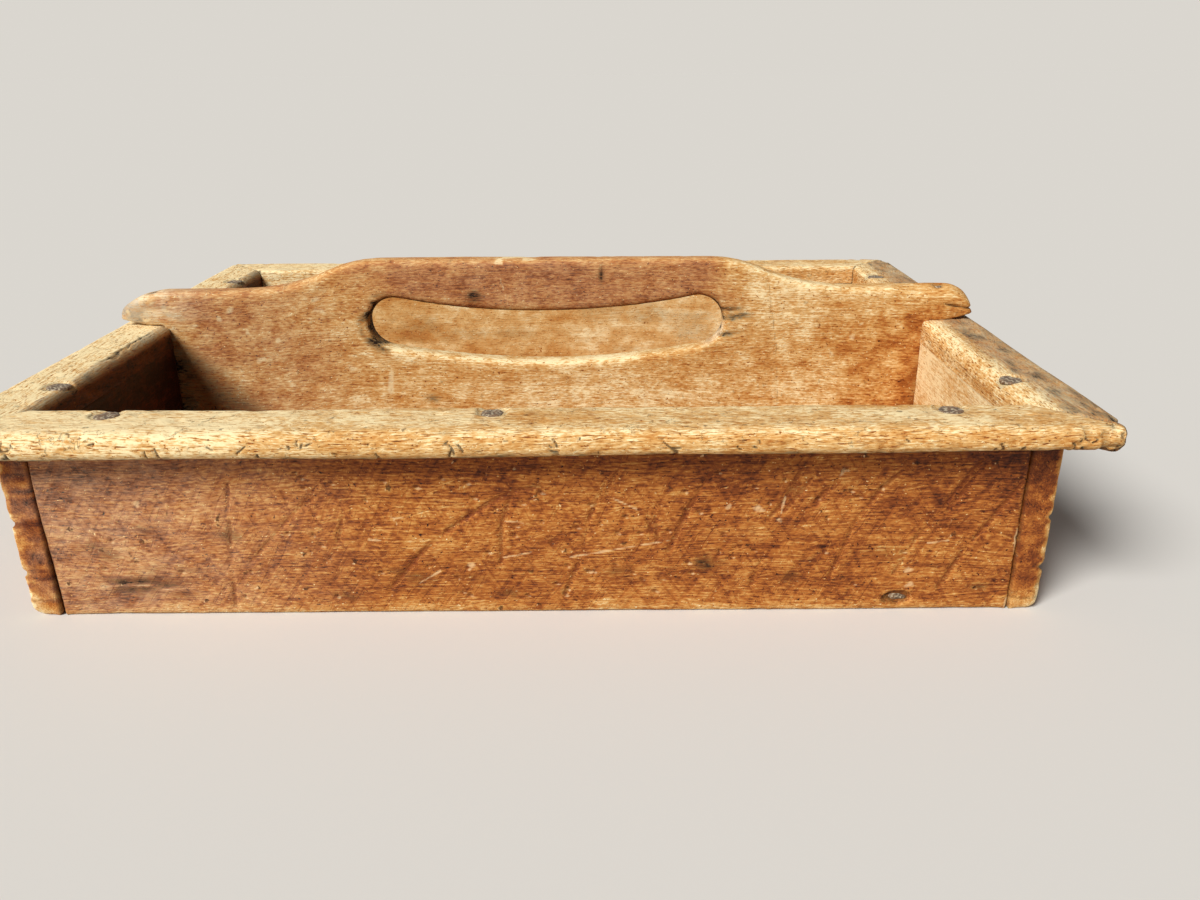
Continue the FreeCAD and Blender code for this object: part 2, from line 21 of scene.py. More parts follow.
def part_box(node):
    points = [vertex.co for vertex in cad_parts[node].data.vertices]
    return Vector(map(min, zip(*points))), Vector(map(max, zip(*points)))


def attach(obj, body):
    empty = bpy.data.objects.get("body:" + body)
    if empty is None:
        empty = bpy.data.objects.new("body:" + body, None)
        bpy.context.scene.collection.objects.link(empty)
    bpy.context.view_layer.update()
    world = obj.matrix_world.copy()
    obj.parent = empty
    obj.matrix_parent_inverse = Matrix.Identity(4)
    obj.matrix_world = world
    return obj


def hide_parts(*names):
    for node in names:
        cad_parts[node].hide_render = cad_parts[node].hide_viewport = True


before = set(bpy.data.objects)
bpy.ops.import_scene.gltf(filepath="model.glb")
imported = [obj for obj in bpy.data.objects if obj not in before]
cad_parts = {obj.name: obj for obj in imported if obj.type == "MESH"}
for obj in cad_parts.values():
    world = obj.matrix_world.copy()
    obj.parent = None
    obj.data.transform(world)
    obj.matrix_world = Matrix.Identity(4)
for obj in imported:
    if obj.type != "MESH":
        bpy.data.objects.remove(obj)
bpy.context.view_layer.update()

MM = 0.001  # Blender works in metres, and this lesson speaks in millimetres

# %% [markdown]
# ## The camera
# The photograph was taken from close by, a little to the right of the middle and looking
# down. A wide lens at that distance makes the front wall look much larger than the back.
# The place, the tilt and the lens were found by fitting the model's straight edges to the
# photograph's, so they are typed in here as measured.

# %% Camera
FRAME_PIXELS = 1200  # width of the photograph
FOCAL_PIXELS = 976.47  # focal length in pixels of that width
SENSOR = 36.0  # millimetres, Blender's usual sensor
CAMERA_AT = (23.947, -430.138, 180.132)  # millimetres
PITCH, YAW, ROLL = (math.radians(angle) for angle in (21.5355, -0.0566, 0.4285))

ahead = Vector((math.sin(YAW) * math.cos(PITCH), math.cos(YAW) * math.cos(PITCH), -math.sin(PITCH)))
level = Vector((math.cos(YAW), -math.sin(YAW), 0))
down = ahead.cross(level)
right = level * math.cos(ROLL) + down * math.sin(ROLL)
up = right.cross(ahead)

lens = bpy.data.cameras.new("photo_lens")
lens.sensor_width = SENSOR
lens.lens = FOCAL_PIXELS * SENSOR / FRAME_PIXELS
camera = bpy.data.objects.new("camera", lens)
turned = Matrix((right, up, -ahead)).transposed().to_4x4()
camera.matrix_world = Matrix.Translation(Vector(CAMERA_AT) * MM) @ turned
bpy.context.scene.collection.objects.link(camera)
bpy.context.scene.camera = camera
print(f"lens {lens.lens:.1f} mm")

# %% [markdown]
# ## One function for nodes
# Materials and geometry trees are both webs of nodes. One small function adds a node, sets
# its properties, and feeds its inputs with numbers or with other nodes' outputs. It hands
# back an output socket, so that calls read like a formula.
# Colours are written as sRGB hex values, as a paint program shows them, and turned linear.


# %% Nodes and colours
def add(tree, kind, feeds=None, out=0, **settings):
    """Adds a node to a tree. feeds maps its inputs to values or sockets, and out picks the output."""
    node = tree.nodes.new(kind)
    for name, value in settings.items():
        setattr(node, name, value)
    for key, value in (feeds or {}).items():
        if isinstance(value, bpy.types.NodeSocket):
            tree.links.new(value, node.inputs[key])
        else:
            node.inputs[key].default_value = value
    return node.outputs[out] if node.outputs else node


def linear(code):
    """An sRGB hex colour as the four linear numbers that Blender wants."""
    parts = [int(code[i : i + 2], 16) / 255 for i in (1, 3, 5)]
    return [c / 12.92 if c <= 0.04045 else ((c + 0.055) / 1.055) ** 2.4 for c in parts] + [1.0]


print("linear middle grey:", round(linear("#808080")[0], 3))

# %% [markdown]
# ## Floor and light
# A plain pale floor and soft light, as in a small studio. The main light comes from the left
# and the front, well above the caddy, so that the left end shades the inside as it does in
# the photograph. A sun lamp with a wide angle gives that soft shadow and lights the floor
# evenly out to the horizon. The world gives the fill. What the camera and reflections see of
# it is the floor's own colour, so no horizon shows.

# %% Floor
FLOOR_HALF = 20.0  # metres
FLOOR_COLOUR = linear("#D9D5CE")
PAPER_ROUGHNESS = 0.95

floor_mesh = bpy.data.meshes.new("studio_floor")
floor_corners = [(x * FLOOR_HALF, y * FLOOR_HALF, 0) for x, y in ((-1, -1), (1, -1), (1, 1), (-1, 1))]
floor_mesh.from_pydata(floor_corners, [], [(0, 1, 2, 3)])
floor = bpy.data.objects.new("studio_floor", floor_mesh)
bpy.context.scene.collection.objects.link(floor)
paper = bpy.data.materials.new("matt_paper_floor")
paper.use_nodes = True
paper_shader = paper.node_tree.nodes["Principled BSDF"]
paper_shader.inputs["Base Color"].default_value = FLOOR_COLOUR
paper_shader.inputs["Roughness"].default_value = PAPER_ROUGHNESS
paper_shader.inputs["Specular IOR Level"].default_value = 0.0
floor_mesh.materials.append(paper)
print("floor", 2 * FLOOR_HALF, "m square")

# %% Light
SUN_FROM = Vector((-0.53, -0.6, 0.69))
SUN_ANGLE = math.radians(26)  # how soft the shadow is
SUN_POWER = 4.2
FILL = 0.14
BACKDROP = 1.012  # as bright as the far floor comes out

sun_lamp = bpy.data.lights.new("window_light", "SUN")
sun_lamp.energy = SUN_POWER
sun_lamp.angle = SUN_ANGLE
sun = bpy.data.objects.new("window_light", sun_lamp)
sun.rotation_mode = "QUATERNION"
sun.rotation_quaternion = SUN_FROM.to_track_quat("Z", "Y")
bpy.context.scene.collection.objects.link(sun)

world = bpy.data.worlds.new("studio")
world.use_nodes = True
bpy.context.scene.world = world
sky = world.node_tree
sky.nodes.clear()
seen = add(sky, "ShaderNodeLightPath", out="Is Camera Ray")
path = seen.node
for ray in ("Is Glossy Ray", "Is Transmission Ray"):
    seen = add(sky, "ShaderNodeMath", {0: seen, 1: path.outputs[ray]}, operation="MAXIMUM")
fill = add(sky, "ShaderNodeBackground", {"Color": linear("#FFFFFF"), "Strength": FILL})
backdrop = add(sky, "ShaderNodeBackground", {"Color": FLOOR_COLOUR, "Strength": BACKDROP})
shown = add(sky, "ShaderNodeMixShader", {0: seen, 1: fill, 2: backdrop})
add(sky, "ShaderNodeOutputWorld", {"Surface": shown})
bpy.context.scene.view_settings.view_transform = "Standard"
print("sun", SUN_POWER, "fill", FILL)

# %% [markdown]
# ## Reading and painting meshes
# A worn board has some fifty thousand points. NumPy works on all of them at once, which is
# short to write and quick to run. Three helpers read a mesh's points, write them back, and
# paint a number on each point for the material to read by name.
# Wear is never even, so a fourth gives smooth random lumps of any size in millimetres.


# %% Mesh helpers
def read(mesh):
    """The points of a mesh and their normals, as arrays with a row for each point, in millimetres."""
    points = np.empty(len(mesh.vertices) * 3, np.float32)
    mesh.vertices.foreach_get("co", points)
    normals = np.empty(len(mesh.vertices) * 3, np.float32)
    mesh.vertices.foreach_get("normal", normals)
    return points.reshape(-1, 3).astype(float) / MM, normals.reshape(-1, 3).astype(float)


def write(mesh, points):
    """Moves a mesh's points to those places, in millimetres."""
    mesh.vertices.foreach_set("co", (points * MM).astype(np.float32).ravel())
    mesh.update()


def paint(mesh, name, values):
    """Paints a number on each point, under a name."""
    layer = mesh.attributes.get(name) or mesh.attributes.new(name, "FLOAT", "POINT")
    layer.data.foreach_set("value", np.asarray(values, np.float32))


def painted(mesh, name):
    """The numbers painted under a name."""
    values = np.empty(len(mesh.vertices), np.float32)
    mesh.attributes[name].data.foreach_get("value", values)
    return values.astype(float)


print("points of the CAD front wall:", len(read(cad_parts["front_wall"].data)[0]))

# %% Lumps and ramps
LATTICE = 32  # random numbers along each side of the block that lumps() repeats


def lumps(points, size, seed):
    """Smooth random numbers from -1 to 1: lumps of about that size, or of three sizes along X, Y and Z."""
    table = np.random.default_rng(seed).uniform(-1, 1, (LATTICE, LATTICE, LATTICE))
    spots = points / np.asarray(size, float)
    cell = np.floor(spots).astype(int)
    part = spots - cell
    part = part * part * (3 - 2 * part)
    total = np.zeros(len(points))
    for corner in np.ndindex(2, 2, 2):
        share = np.prod(np.where(corner, part, 1 - part), axis=1)
        total += share * table[tuple(((cell + corner) % LATTICE).T)]
    return total


def ramp(values, low, high):
    """0 below low, 1 above high, and a smooth step between. It falls if low is the larger."""
    part = np.clip((values - low) / (high - low), 0, 1)
    return part * part * (3 - 2 * part)


trial = lumps(np.random.default_rng(0).uniform(-100, 100, (1000, 3)), 10, 1)
print(f"lumps run from {trial.min():.2f} to {trial.max():.2f}")

# %% [markdown]
# ## Where the nails are
# Each row of nails is one CAD node, so its nails are found as the mesh's separate islands. A
# nail is long and thin, and its head is the wider end: that gives the head's middle and the
# way the nail was driven. The boards need both, to dish the wood round each head.


# %% Nails of the CAD model
JOIN = 0.01  # points of a CAD mesh nearer than this, in millimetres, are one
HEAD_END = 1.0  # the slice at each end of a nail that is measured, in millimetres


def islands(mesh):
    """The points of each separate part of a mesh, in millimetres."""
    grid = bmesh.new()
    grid.from_mesh(mesh)
    bmesh.ops.remove_doubles(grid, verts=grid.verts, dist=JOIN * MM)
    waiting = set(grid.verts)
    parts = []
    while waiting:
        found = [waiting.pop()]
        for vert in found:
            fresh = {edge.other_vert(vert) for edge in vert.link_edges} & waiting
            waiting -= fresh
            found.extend(fresh)
        parts.append(np.array([tuple(vert.co) for vert in found]) / MM)
    grid.free()
    return sorted(parts, key=lambda part: tuple(part.min(0)))


def head_and_drive(part):
    """The middle of a nail's head and the way that it was driven, from the nail's points."""
    low, high = part.min(0), part.max(0)
    axis = int(np.argmax(high - low))
    upper = np.ptp(part[part[:, axis] > high[axis] - HEAD_END], axis=0).max()
    lower = np.ptp(part[part[:, axis] < low[axis] + HEAD_END], axis=0).max()
    head, drive = (low + high) / 2, np.zeros(3)
    head[axis] = high[axis] if upper > lower else low[axis]
    drive[axis] = -1 if upper > lower else 1
    return head, drive


NAILS = {
    row: [head_and_drive(part) for part in islands(node.data)]
    for row, node in sorted(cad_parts.items())
    if "nail" in row
}
ALL_NAILS = [nail for row in NAILS.values() for nail in row]
print({row: len(nails) for row, nails in NAILS.items()})

# %% [markdown]
# ## Blank boards
# A blank is a copy of the CAD board that is ready to be worn: one closed skin of small, even
# faces. First the nail holes come out of the copy, because a forged nail fills them later.
# Then Blender's voxel Remesh lays an even net of faces over it. The voxel is about as small
# as a limit of two hundred thousand triangles for a piece allows: a scratch needs faces.


# %% Blanks
NAIL_LENGTH = 32.5  # millimetres, a little more than the CAD nail's
HOLE_REACH = 4.2  # millimetres, a little more than the nail head's radius


def across_and_along(points, nail):
    """How far points lie from a nail's axis, and how far along it from the head."""
    head, drive = nail
    along = (points - head) @ drive
    across = np.linalg.norm(points - head - np.outer(along, drive), axis=1)
    return across, along


def settle(piece):
    """Replaces a piece's mesh by what its modifiers make of it, and takes the modifiers off."""
    graph = bpy.context.evaluated_depsgraph_get()
    source = piece.evaluated_get(graph)
    made = bpy.data.meshes.new_from_object(source, preserve_all_data_layers=True, depsgraph=graph)
    piece.modifiers.clear()
    old = piece.data
    piece.data = made
    bpy.data.meshes.remove(old)
    made.name = piece.name


def blank(board, voxel):
    """A copy of a CAD board with its nail holes closed, remeshed with that voxel in millimetres."""
    grid = bmesh.new()
    grid.from_mesh(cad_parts[board].data)
    bmesh.ops.remove_doubles(grid, verts=grid.verts, dist=JOIN * MM)
    points = np.array([tuple(vert.co) for vert in grid.verts]) / MM
    in_hole = np.zeros(len(points), bool)
    for nail in ALL_NAILS:
        across, along = across_and_along(points, nail)
        in_hole |= (across < HOLE_REACH) & (along > -HEAD_END) & (along < NAIL_LENGTH)
    holes = [face for face in grid.faces if all(in_hole[vert.index] for vert in face.verts)]
    bmesh.ops.delete(grid, geom=holes, context="FACES")
    bmesh.ops.holes_fill(grid, edges=[edge for edge in grid.edges if edge.is_boundary])
    mesh = bpy.data.meshes.new(f"{board}_worn")
    grid.to_mesh(mesh)
    grid.free()
    piece = bpy.data.objects.new(f"{board}_worn", mesh)
    bpy.context.scene.collection.objects.link(piece)
    remesh = piece.modifiers.new("even faces", "REMESH")
    remesh.mode = "VOXEL"
    remesh.voxel_size = voxel * MM
    remesh.use_smooth_shade = True
    settle(piece)
    print(f"{board}: {len(holes)} hole faces closed, {len(piece.data.polygons)} faces")
    return piece


print("holes are closed", HOLE_REACH, "mm about a nail")

# %% [markdown]
# ## Old pine
# The boards are pine that was varnished once. Where nothing touches it, the varnish has
# turned a dark red brown. Where hands and tools rub, it thins to orange, then to tan, and on
# an arris the bare wood is as pale as straw. So one number, how bare the wood is, gives the
# colour, and each board paints that number on its points. In places that number also holds
# painted light and shade: the rims are painted paler at the left and darker at the right,
# and the left end and the left rim darker inside. Patterns of real sizes then push it up and
# down: bleached patches, growth streaks, fibres and mottling.
# Separate materials for varnished and bare wood could not melt into each other like that.
# Grime, dust, cuts and fresh chips are painted numbers as well, and lie over that. The grime
# also holds painted shade in places, and the chips painted highlights beside dents. A cut or
# a chip needs a crisp edge, finer than the mesh: its number falls off slowly round its
# middle, and the material starts the mark where the number passes a threshold.

# %% Wood colours and patterns
BARE_COLOURS = {
    0.0: "#240E05",
    0.2: "#572812",
    0.38: "#88471D",
    0.54: "#AE682C",
    0.7: "#C88D49",
    0.84: "#DDB070",
    0.93: "#ECCB94",
    1.0: "#FAE3B0",
}  # from thick old varnish to scrubbed wood
WOOD_PATTERNS = {
    "bleached patches": (44, 24, 3, 0.3, 0.0),
    "growth streaks": (120, 3.0, 3, 0.16, 0.0),
    "fibres": (20, 0.5, 3, 0.5, 0.5),
    "short grain": (2.2, 0.65, 3, 0.5, 0.5),
    "mottling": (8, 6, 4, 0.4, 0.1),
}  # millimetres along and across the grain, octaves, and the weights in the colour and the relief
WOOD_LINES = {
    "pores": (3.6, 0.4, 0.6, -0.18, 0),
    "drying cracks": (8, 0.5, 0.65, -0.35, 0),
    "dark specks": (1.2, 0.8, 0.66, -0.4, 0),
    "light specks": (1.1, 0.7, 0.67, 0.35, 0),
    "dark rubs": (24, 2.6, 0.52, -0.08, 57),
    "cross rubs": (18, 1.6, 0.56, -0.08, 122),
    "dark scratches": (26, 0.9, 0.63, -0.08, 62),
    "light scratches": (14, 0.45, 0.63, 0.16, 17),
    "light nicks": (5, 0.45, 0.66, 0.2, 68),
}  # millimetres long and wide, how rare, the weight in the colour, and the degrees from the grain
LINE_EDGE, LINE_DEPTH = 0.1, -0.5  # how softly a line starts, and its weight in the relief
BEND_SIZE, BEND_REACH = (150, 34), 16.0  # how long and wide the grain's bends are, and how far it strays
SEED_STEPS = (131.0, 57.0, 23.0)  # millimetres between the pieces of wood that two seeds cut out
# The grime colour is that of dirt, and also of painted shade under the rim, in corners and in cast shadows.
GRIME_AND_SHADE, DUST, CUT, CHIP_AND_HIGHLIGHT, CRACK = "#23160E", "#E8D5B8", "#642A10", "#F0D9A8", "#2A1A10"
# This chip colour is also that of the painted highlights beside dents and pits on the front and the ends.
VARNISH_CHIP_AND_HIGHLIGHT = "#E8C492"  # a chip in the varnish, paler than the wood round it
print(len(WOOD_PATTERNS), "patterns,", len(WOOD_LINES), "kinds of lines,", len(BARE_COLOURS), "colours")

# %% [markdown]
# ### The grain
# Grain is noise that is stretched along the board: a place is divided by one size along the
# grain and by another across it, both in millimetres. A photograph of wood would repeat,
# and its streaks could not be made stronger on one board than on another. A slow noise bends
# the place first, because no tree grows straight and a straight grain looks printed.


# %% Wood grain
def sized(grain, along, across):
    """Sizes on the three axes: one along the grain and one across it."""
    return [along if axis == grain else across for axis in "XYZ"]


def streaks(tree, place, sizes, octaves, out=0):
    """Random streaks, with their sizes on the three axes in millimetres."""
    spots = add(tree, "ShaderNodeVectorMath", {0: place, 1: sizes}, operation="DIVIDE")
    return add(tree, "ShaderNodeTexNoise", {"Vector": spots, "Scale": 1.0, "Detail": octaves}, out)


def strayed(tree, place, sizes, reach):
    """A place that strays at random, with a reach on each axis."""
    stray = streaks(tree, place, sizes, 2.0, "Color")
    stray = add(tree, "ShaderNodeVectorMath", {0: stray, 1: [0.5] * 3}, operation="SUBTRACT")
    return add(tree, "ShaderNodeVectorMath", {0: stray, 1: reach, 2: place}, operation="MULTIPLY_ADD")


def grain_place(tree, grain, seed):
    """Where a point lies in the wood, in millimetres, on a grain that bends as the tree grew."""
    metres = add(tree, "ShaderNodeTexCoord", out="Object")
    shift = [seed * step for step in SEED_STEPS]
    place = add(tree, "ShaderNodeMapping", {"Vector": metres, "Location": shift, "Scale": [1 / MM] * 3})
    return strayed(tree, place, sized(grain, *BEND_SIZE), sized(grain, 0, BEND_REACH))


def worn_grain(tree, place, grain, face, strength):
    """How bare the wood is, with the painted light and shade that boards put in it, how high its roughness
    stands, and the patterns by name.
    """
    bare = add(tree, "ShaderNodeAttribute", out="Fac", attribute_name="bare")
    relief = 0.0
    patterns = {}
    for label, (along, across, octaves, tint, height) in WOOD_PATTERNS.items():
        patterns[label] = streaks(tree, place, sized(grain, along, across), octaves)
        level = add(tree, "ShaderNodeMath", {0: patterns[label], 1: 0.5}, operation="SUBTRACT")
        tint = tint * strength.get(label, 1.0)
        bare = add(tree, "ShaderNodeMath", {0: level, 1: tint, 2: bare}, operation="MULTIPLY_ADD")
        if height:
            feeds = {0: level, 1: height, 2: relief}
            relief = add(tree, "ShaderNodeMath", feeds, operation="MULTIPLY_ADD")
    for label, (along, across, rare, tint, turn) in WOOD_LINES.items():
        turned = place
        if turn:
            angles = [math.radians(turn) * (axis == face) for axis in "XYZ"]
            turned = add(tree, "ShaderNodeMapping", {"Vector": place, "Rotation": angles})
        lines = streaks(tree, turned, sized(grain, along, across), 2.0)
        feeds = {0: lines, 1: rare, 2: rare + LINE_EDGE, 3: 0.0, 4: strength.get(label, 1.0)}
        lines = add(tree, "ShaderNodeMapRange", feeds)
        bare = add(tree, "ShaderNodeMath", {0: lines, 1: tint, 2: bare}, operation="MULTIPLY_ADD")
        relief = add(tree, "ShaderNodeMath", {0: lines, 1: LINE_DEPTH, 2: relief}, operation="MULTIPLY_ADD")
    return bare, relief, patterns


print("grain bends over", BEND_SIZE[0], "mm")

# %% [markdown]
# ### Dirt and damage
# What lies on the wood comes in layers, each with an amount and a colour. Dust, grime, cuts
# and chips are painted by the boards, and the grain makes their outlines ragged; the grime
# holds painted shade in places, and the chips painted highlights. Dried wood also has fine
# checks and small pits by the hundred, too many to place by hand. A Voronoi pattern gives
# both: the walls of its cells are the checks, and their middles are the pits, dark with dirt
# and painted shade. Beside each pit it puts a pale speck, a painted highlight.

# %% Dirt and damage in the wood
SHAKE_SIZE, SHAKE_REACH = 1.4, 3.0  # millimetres, the jitter of checks and pits
RAGGED_FROM, RAGGED_TO = (0.75, 1.25), (0.3, 1.4)  # how the mottling thins and thickens dirt
MARK_EDGE, RAGGED_MARK = (0.5, 0.8), 0.16  # where a painted mark starts and is whole, and how raggedly
CHECK_SIZE, CHECK_WIDTH = (6.0, 4.2), 0.045  # millimetres between checks, and their width in cells
CHECK_PATCH, CHECK_PLACES = 1.2, (0.575, 0.62)  # how large patches of checks are, in cells, and how rare
PIT_SPACING, PIT_RADIUS = 7.5, 0.12  # millimetres between pits, and their radius in spacings
# The pale speck beside each pit is a painted highlight, where the pit's lip would catch the light.
PIT_HIGHLIGHT_SHIFT, PIT_HIGHLIGHT_SIZE = (0.8, 0.8, 0.5), 0.55  # millimetres from a pit to its pale speck, and its size


def painted_layers(tree, patterns, cut, chip):
    """Dirt, painted shade, marks and painted highlights that a board paints on its points: how much of each,
    and its colour.
    """
    feeds = {0: patterns["mottling"], 1: patterns["short grain"]}
    ragged = add(tree, "ShaderNodeMath", feeds, operation="ADD")
    feeds = {0: ragged, 1: RAGGED_FROM[0], 2: RAGGED_FROM[1], 3: RAGGED_TO[0], 4: RAGGED_TO[1]}
    ragged = add(tree, "ShaderNodeMapRange", feeds)
    layers = []
    for label, code in (("dust", DUST), ("grime", GRIME_AND_SHADE)):
        amount = add(tree, "ShaderNodeAttribute", out="Fac", attribute_name=label)
        amount = add(tree, "ShaderNodeMath", {0: amount, 1: ragged}, operation="MULTIPLY", use_clamp=True)
        layers.append((amount, code))
    for label, (code, most) in (("cut", cut), ("chip", chip)):
        amount = add(tree, "ShaderNodeAttribute", out="Fac", attribute_name=label)
        amount = add(tree, "ShaderNodeMath", {0: ragged, 1: RAGGED_MARK, 2: amount}, operation="MULTIPLY_ADD")
        low, high = (edge + RAGGED_MARK for edge in MARK_EDGE)
        amount = add(tree, "ShaderNodeMapRange", {0: amount, 1: low, 2: high, 3: 0.0, 4: most})
        layers.append((amount, code))
    return layers


def checks_and_pits(tree, place, grain, face, strength, highlight):
    """Fine cracks in patches, dark pits of dirt and painted shade, and painted highlights of that colour
    beside the pits.
    """
    shaken = strayed(tree, place, [SHAKE_SIZE] * 3, [SHAKE_REACH] * 3)
    cells = add(tree, "ShaderNodeVectorMath", {0: shaken, 1: sized(grain, *CHECK_SIZE)}, operation="DIVIDE")
    check = add(tree, "ShaderNodeTexVoronoi", {"Vector": cells, "Scale": 1.0}, feature="DISTANCE_TO_EDGE")
    check = add(tree, "ShaderNodeMapRange", {0: check, 1: 0.0, 2: CHECK_WIDTH, 3: 1.0, 4: 0.0})
    patch = streaks(tree, place, sized(grain, *(CHECK_PATCH * size for size in CHECK_SIZE)), 2.0)
    feeds = {0: patch, 1: CHECK_PLACES[0], 2: CHECK_PLACES[1], 3: 0.0, 4: strength.get("checks", 0.0)}
    patch = add(tree, "ShaderNodeMapRange", feeds)
    layers = [(add(tree, "ShaderNodeMath", {0: check, 1: patch}, operation="MULTIPLY"), CRACK)]
    flat = [0.0 if axis == face else 1 / PIT_SPACING for axis in "XYZ"]
    most = strength.get("pits", 0.0)
    for shift, size, code in (((0.0, 0.0, 0.0), 1.0, CRACK), (PIT_HIGHLIGHT_SHIFT, PIT_HIGHLIGHT_SIZE, highlight)):
        spots = add(tree, "ShaderNodeVectorMath", {0: shaken, 1: shift}, operation="ADD")
        spots = add(tree, "ShaderNodeVectorMath", {0: spots, 1: flat}, operation="MULTIPLY")
        pit = add(tree, "ShaderNodeTexVoronoi", {"Vector": spots, "Scale": 1.0})
        radius = size * PIT_RADIUS
        pit = add(tree, "ShaderNodeMapRange", {0: pit, 1: 0.5 * radius, 2: radius, 3: most, 4: 0.0})
        layers.append((pit, code))
    return layers


print("pits about every", PIT_SPACING, "mm")

# %% [markdown]
# ### One function for every wood
# All boards are the same timber under the same varnish, so one function makes every wood.
# Seven materials made by hand would drift apart. What differs is the way the grain runs, how
# glossy the varnish is and which patterns show most, and those are the function's settings.

# %% Wood material
# Old varnished pine: thick dark varnish is smooth and glints a little, and bare wood is dull.
SHEEN = 0.16  # specular level of old varnish
VARNISH_THINS, DULL_WOOD = (0.3, 0.8), 0.82  # bareness where the gloss goes, and bare wood's roughness
RELIEF, RELIEF_STRENGTH = 0.35, 0.6  # millimetres, the height of the finest roughness


def aged_wood(name, grain, face, seed, gloss, strength, cut=(CUT, 0.5), chip=(CHIP_AND_HIGHLIGHT, 0.5)):
    """Old pine with its grain along one axis and its broad faces across another. gloss is how
    rough the whole varnish is, strength says which patterns show more or less than usual. cut
    is the colour in cracks and scratches and how strongly it shows, and the last argument that
    of fresh chips and of the painted highlights beside pits."""
    wood = bpy.data.materials.new(name)
    wood.use_nodes = True
    tree = wood.node_tree
    shader = tree.nodes["Principled BSDF"]
    shader.inputs["Specular IOR Level"].default_value = SHEEN
    place = grain_place(tree, grain, seed)
    bare, relief, patterns = worn_grain(tree, place, grain, face, strength)

    colour = add(tree, "ShaderNodeValToRGB", {"Fac": bare})
    stops = colour.node.color_ramp.elements
    while len(stops) < len(BARE_COLOURS):
        stops.new(0.5)
    for stop, (position, code) in zip(stops, BARE_COLOURS.items()):
        stop.position, stop.color = position, linear(code)
    layers = painted_layers(tree, patterns, cut, chip)
    layers += checks_and_pits(tree, place, grain, face, strength, chip[0])
    for amount, code in layers:
        feeds = {0: amount, 6: colour, 7: linear(code)}
        colour = add(tree, "ShaderNodeMix", feeds, out=2, data_type="RGBA")

    feeds = {0: bare, 1: VARNISH_THINS[0], 2: VARNISH_THINS[1], 3: gloss, 4: DULL_WOOD}
    rough = add(tree, "ShaderNodeMapRange", feeds)
    feeds = {"Height": relief, "Strength": RELIEF_STRENGTH, "Distance": RELIEF * MM}
    bump = add(tree, "ShaderNodeBump", feeds)
    for socket, value in (("Base Color", colour), ("Roughness", rough), ("Normal", bump)):
        tree.links.new(value, shader.inputs[socket])
    return wood


print("bare wood is", DULL_WOOD, "rough")

# %% Woods of the caddy
RUBS = ("dark rubs", "cross rubs", "dark scratches", "light scratches", "light nicks")
SHELTERED = {label: 0.25 for label in RUBS}
CRISP = {"short grain": 1.35, "dark specks": 1.35, "light specks": 1.4}
VARNISHED = {"drying cracks": 0.4, "growth streaks": 1.3, "fibres": 1.4, "pits": 0.75, **CRISP}
WEATHERED = {
    "growth streaks": 0.5,
    "pores": 2.1,
    "drying cracks": 1.6,
    "checks": 0.6,
    "pits": 0.6,
    **CRISP,
    **SHELTERED,
}
HANDLED = {"mottling": 1.3, "growth streaks": 0.7, "drying cracks": 0.4, "pits": 0.3, **CRISP, **SHELTERED}
BLURRED = {"fibres": 0.45, "short grain": 0.35, "mottling": 1.2, "drying cracks": 0.2, **SHELTERED}
END_GRAIN = {"fibres": 0.8, "short grain": 0.8, "drying cracks": 0.3, "pits": 0.3, **SHELTERED}
FAINT_CHIP_AND_HIGHLIGHT = (VARNISH_CHIP_AND_HIGHLIGHT, 0.6)
RIM_CRACK = (CRACK, 0.75)

WALL_WOOD = aged_wood("varnished_pine_along_the_front", "X", "Y", 1, 0.42, VARNISHED, chip=FAINT_CHIP_AND_HIGHLIGHT)
BACK_WOOD = aged_wood("varnished_pine_along_the_back", "X", "Y", 7, 0.45, BLURRED)
END_WOOD = aged_wood("varnished_pine_along_the_ends", "Y", "X", 2, 0.45, END_GRAIN, chip=FAINT_CHIP_AND_HIGHLIGHT)
RIM_WOOD = aged_wood("scrubbed_pine_along_the_rim", "X", "Z", 3, 0.55, WEATHERED, RIM_CRACK)
SIDE_RIM_WOOD = aged_wood("scrubbed_pine_across_the_rim", "Y", "Z", 4, 0.55, WEATHERED, RIM_CRACK)
HANDLE_WOOD = aged_wood("hand_worn_pine", "X", "Y", 5, 0.45, HANDLED, (CRACK, 0.8), (CHIP_AND_HIGHLIGHT, 0.6))
FLOOR_WOOD = aged_wood("grimy_shaded_pine_floor", "X", "Z", 6, 0.6, HANDLED)
print("woods:", [m.name for m in bpy.data.materials if "pine" in m.name])

# %% [markdown]
# ## Wear, by one rule
# Wood wears by a rule: what stands out is rubbed away first, more where hands and benches
# reach, and never evenly. A Bevel modifier would be even, and sculpting by hand could not be
# run again, but a geometry tree can say exactly that rule. It blurs the points' places, which
# rounds every edge, and each point blurs as much as its painted number "rubbed" and a lumpy
# noise allow. It then lets the board warp a little, dents it, and raises the fibres.
# How far each point sank is kept as "edge", because a rubbed edge is also a bare one.


# %% Geometry trees
def new_tree(name, sizes):
    """An empty geometry tree with a named input of each kind, and the sockets that read them."""
    tree = bpy.data.node_groups.new(name, "GeometryNodeTree")
    for label, kind in {"Geometry": "Geometry", **sizes}.items():
        tree.interface.new_socket(label, in_out="INPUT", socket_type=f"NodeSocket{kind}")
    tree.interface.new_socket("Geometry", in_out="OUTPUT", socket_type="NodeSocketGeometry")
    return tree, tree.nodes.new("NodeGroupInput").outputs


def grow(piece, tree, values):
    """Runs a geometry tree on a piece, with those values by input name, and settles the result."""
    modifier = piece.modifiers.new(tree.name, "NODES")
    modifier.node_group = tree
    for socket in tree.interface.items_tree:
        if socket.in_out == "INPUT" and socket.name in values:
            modifier[socket.identifier] = values[socket.name]
    settle(piece)


